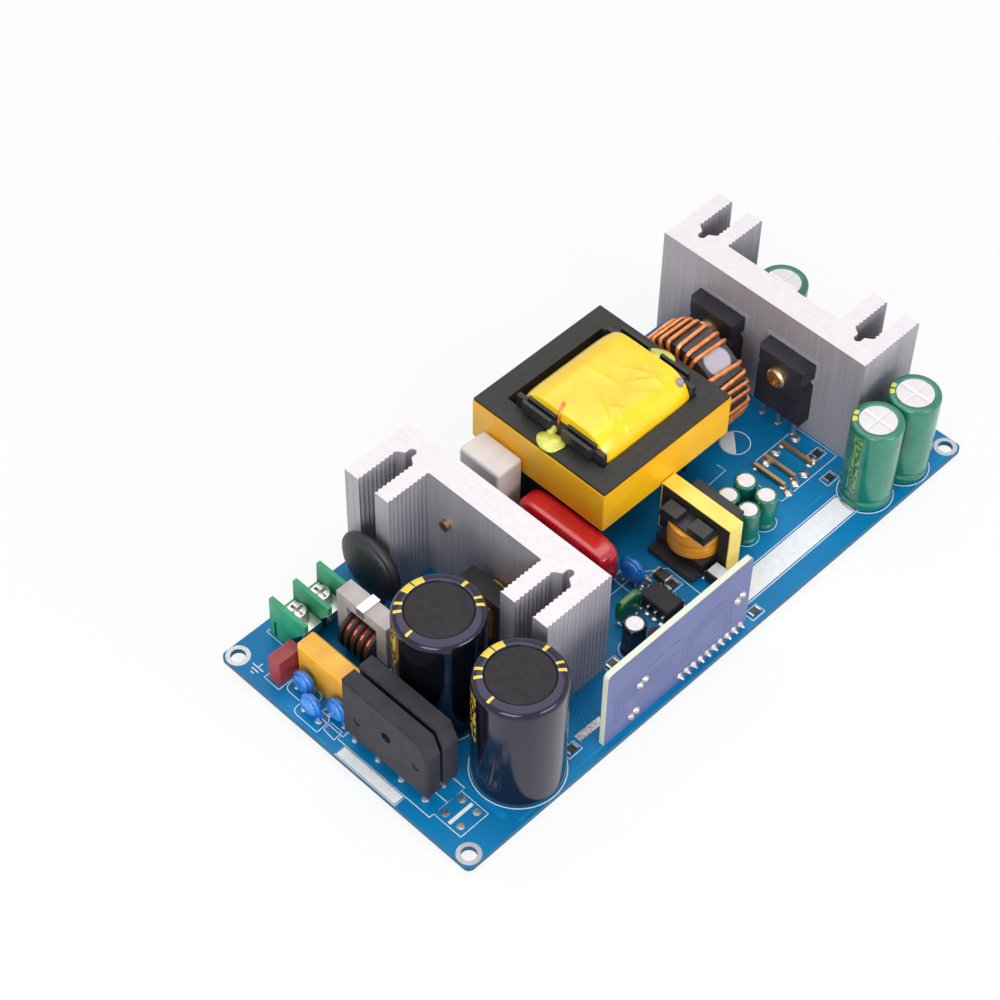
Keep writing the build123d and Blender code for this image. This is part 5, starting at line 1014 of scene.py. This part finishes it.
# Daughter board: a second laminate, grey-lilac under its mask, upright on a right-angle header.
# Its outer face shows fine curved tracks, solder points and the cream, sawn edge.
FACE_TRACK_W, FACE_EASE, PIN_DROP, BLOB_STEP = 0.45, 3, 0.3, 0.9
lilac_mask = finish("lilac_mask", roughness=0.5)
lilac_face = mottled(lilac_mask, (86, 94, 138), (98, 106, 150), 16)
painted(lilac_mask, over(lilac_mask, facing(lilac_mask, "Y"), (222, 224, 204), lilac_face))
relief(lilac_mask, 0.5, 0.02, (2.5, 1, 1))
dress(lilac_mask, "daughter_board")
lilac_track = finish("lilac_track", (80, 86, 134), (92, 98, 146), roughness=0.45)
face_y = corners_of("daughter_board")[0][1] - 0.01
face_lines = [
    [(-42.4, 8), (-42.4, 18.5), (-24, 15.5), (-20, 15.5)],
    [(-41.2, 7), (-41.2, 16.8), (-23, 13.8)],
    [(-39.6, 8.5), (-39.6, 15), (-22, 12.0), (-19.5, 9.5), (-19.5, 5)],
    [(-38.4, 9), (-38.4, 13.6), (-21, 10.4), (-20.8, 5)],
    [(-18, 9), (-18, 16.5), (-12, 20.5), (-4, 21.5), (0, 17), (0, 9)],
    [(-16.4, 10), (-16.4, 15.6), (-11.5, 18.8), (-5, 19.6), (-2, 16), (-2, 8)],
    [(-14.8, 11), (-14.8, 14.8), (-11, 17.2), (-6, 17.8)],
    [(-30, 19.5), (-24, 20.5), (-20, 20)],
]
via = [(0, 0.02), (0.55, 0.02), (0.5, -0.06), (0, -0.07)]
face_tracks = []
for line in face_lines:
    path = [(x, face_y, z) for x, z in line]
    face_tracks.append(carried(eased(path, FACE_EASE), bar_section(FACE_TRACK_W, INK), up=(0, -1, 0)))
    face_tracks += [turned(via, path[end], 16, "y") for end in (0, -1)]
piece("daughter_tracks", [(lilac_track, face_tracks)])
spike = [(0, 0.02), (1.15, 0.02), (0.95, -0.25), (0.5, -0.8), (0.3, -1.5), (0, -1.6)]
blob = [(0, 0.02), (1.2, 0.02), (1.1, -0.3), (0.6, -0.75), (0, -0.9)]
face_joints = [turned(spike, ((low + high)[0] / 2, face_y, high[2] - PIN_DROP), 14, "y")
               for low, high in spans("header_pins")]
face_joints += [turned(blob, (x + step, face_y, z + step / 2), 14, "y")
                for x, z in ((-32.9, 15.7), (-35.4, 5.0), (2.9, 16.4)) for step in (-BLOB_STEP, BLOB_STEP)]
piece("daughter_joints", [(solder, face_joints)])


# Studio: a pale floor that stays white in the camera's eye, soft light from all round and above,
# and the camera at the photograph's place. Lengths are in metres here.
FLOOR_HALF, FLOOR_GLOW, ROOM_STRENGTH = 3, 0.85, 0.38
CAMERA_TARGET, CAMERA_DISTANCE = (-0.00786, 0.03056, 0.0016), 0.65832
AZIMUTH, ELEVATION, ROLL = -46.09, 49.88, 0.96
LENS, SENSOR = 89.64, 36.0


def background_rays(tree, share):
    """The share where a ray comes from the camera or from a glossy or clear surface, 0 elsewhere."""
    rays = tree.nodes.new("ShaderNodeLightPath")
    value = rays.outputs["Is Camera Ray"]
    for operation, other in (("MAXIMUM", "Is Glossy Ray"), ("MAXIMUM", "Is Transmission Ray"),
                             ("MULTIPLY", None)):
        node = tree.nodes.new("ShaderNodeMath")
        node.operation = operation
        tree.links.new(value, node.inputs[0])
        if other:
            tree.links.new(rays.outputs[other], node.inputs[1])
        else:
            node.inputs[1].default_value = share
        value = node.outputs["Value"]
    return value


def seen_behind(tree, share, shader, bright, output):
    """A bright shader laid over another by the share of background rays."""
    blend = tree.nodes.new("ShaderNodeMixShader")
    tree.links.new(background_rays(tree, share), blend.inputs["Fac"])
    tree.links.new(shader, blend.inputs[1])
    tree.links.new(bright, blend.inputs[2])
    tree.links.new(blend.outputs["Shader"], tree.nodes[output].inputs["Surface"])


floor_z = cad_box[0][2]
floor_mesh = bpy.data.meshes.new("studio_floor")
floor_corners = oblong(-FLOOR_HALF, FLOOR_HALF, -FLOOR_HALF, FLOOR_HALF)[:4]
floor_mesh.from_pydata([(x, y, floor_z) for x, y in floor_corners], [], [(0, 1, 2, 3)])
floor = placed("studio_floor", floor_mesh)
floor_paint = finish("floor_paint", (236, 236, 236), roughness=0.9)
glow = floor_paint.node_tree.nodes.new("ShaderNodeEmission")
glow.inputs["Strength"].default_value = 1.0
seen_behind(floor_paint.node_tree, FLOOR_GLOW, shader_of(floor_paint).outputs["BSDF"],
            glow.outputs["Emission"], "Material Output")
floor.data.materials.append(floor_paint)

world = bpy.data.worlds.new("soft_room")
bpy.context.scene.world = world
world.use_nodes = True
room = world.node_tree.nodes["Background"]
room.inputs["Color"].default_value = (0.95, 0.97, 1.0, 1)
room.inputs["Strength"].default_value = ROOM_STRENGTH
sky = world.node_tree.nodes.new("ShaderNodeBackground")
sky.inputs["Color"].default_value = (1, 1, 1, 1)
seen_behind(world.node_tree, 1.0, room.outputs["Background"], sky.outputs["Background"], "World Output")


def aimed(thing, right, up, back, place):
    """Turn an object to three axes and put it at a place."""
    matrix = np.eye(4)
    matrix[:3] = np.column_stack([right, up, back, place])
    thing.matrix_world = Matrix(matrix.tolist())


for name, place, target, size, power in (("top_light", (0.1, 0.15, 0.9), (0, 0, 0), 1.0, 4.9),
                                         ("left_light", (-0.75, -0.35, 0.45), (0, 0, 0.02), 0.5, 4.9),
                                         ("front_light", (0.1, -0.9, 0.35), (0, 0, 0.02), 0.5, 4.6)):
    lamp = bpy.data.lights.new(name, "AREA")
    lamp.size, lamp.energy = size, power
    back = unit(np.array(place, float) - target)
    right = unit(np.cross((0, 1, 0.01), back))
    aimed(placed(name, lamp), right, np.cross(back, right), back, place)

azimuth, elevation, roll = (math.radians(value) for value in (AZIMUTH, ELEVATION, ROLL))
back = np.array([math.sin(azimuth) * math.cos(elevation), -math.cos(azimuth) * math.cos(elevation),
                 math.sin(elevation)])
right = unit(np.cross(-back, (0, 0, 1)))
up = np.cross(right, -back)
camera_data = bpy.data.cameras.new("camera")
camera_data.sensor_width, camera_data.lens = SENSOR, LENS
camera_data.clip_start, camera_data.clip_end = 0.01, 50.0
camera = placed("camera", camera_data)
aimed(camera, right * math.cos(roll) + up * math.sin(roll), up * math.cos(roll) - right * math.sin(roll),
      back, np.array(CAMERA_TARGET) + CAMERA_DISTANCE * back)
bpy.context.scene.camera = camera
bpy.context.scene.view_settings.view_transform = "Standard"
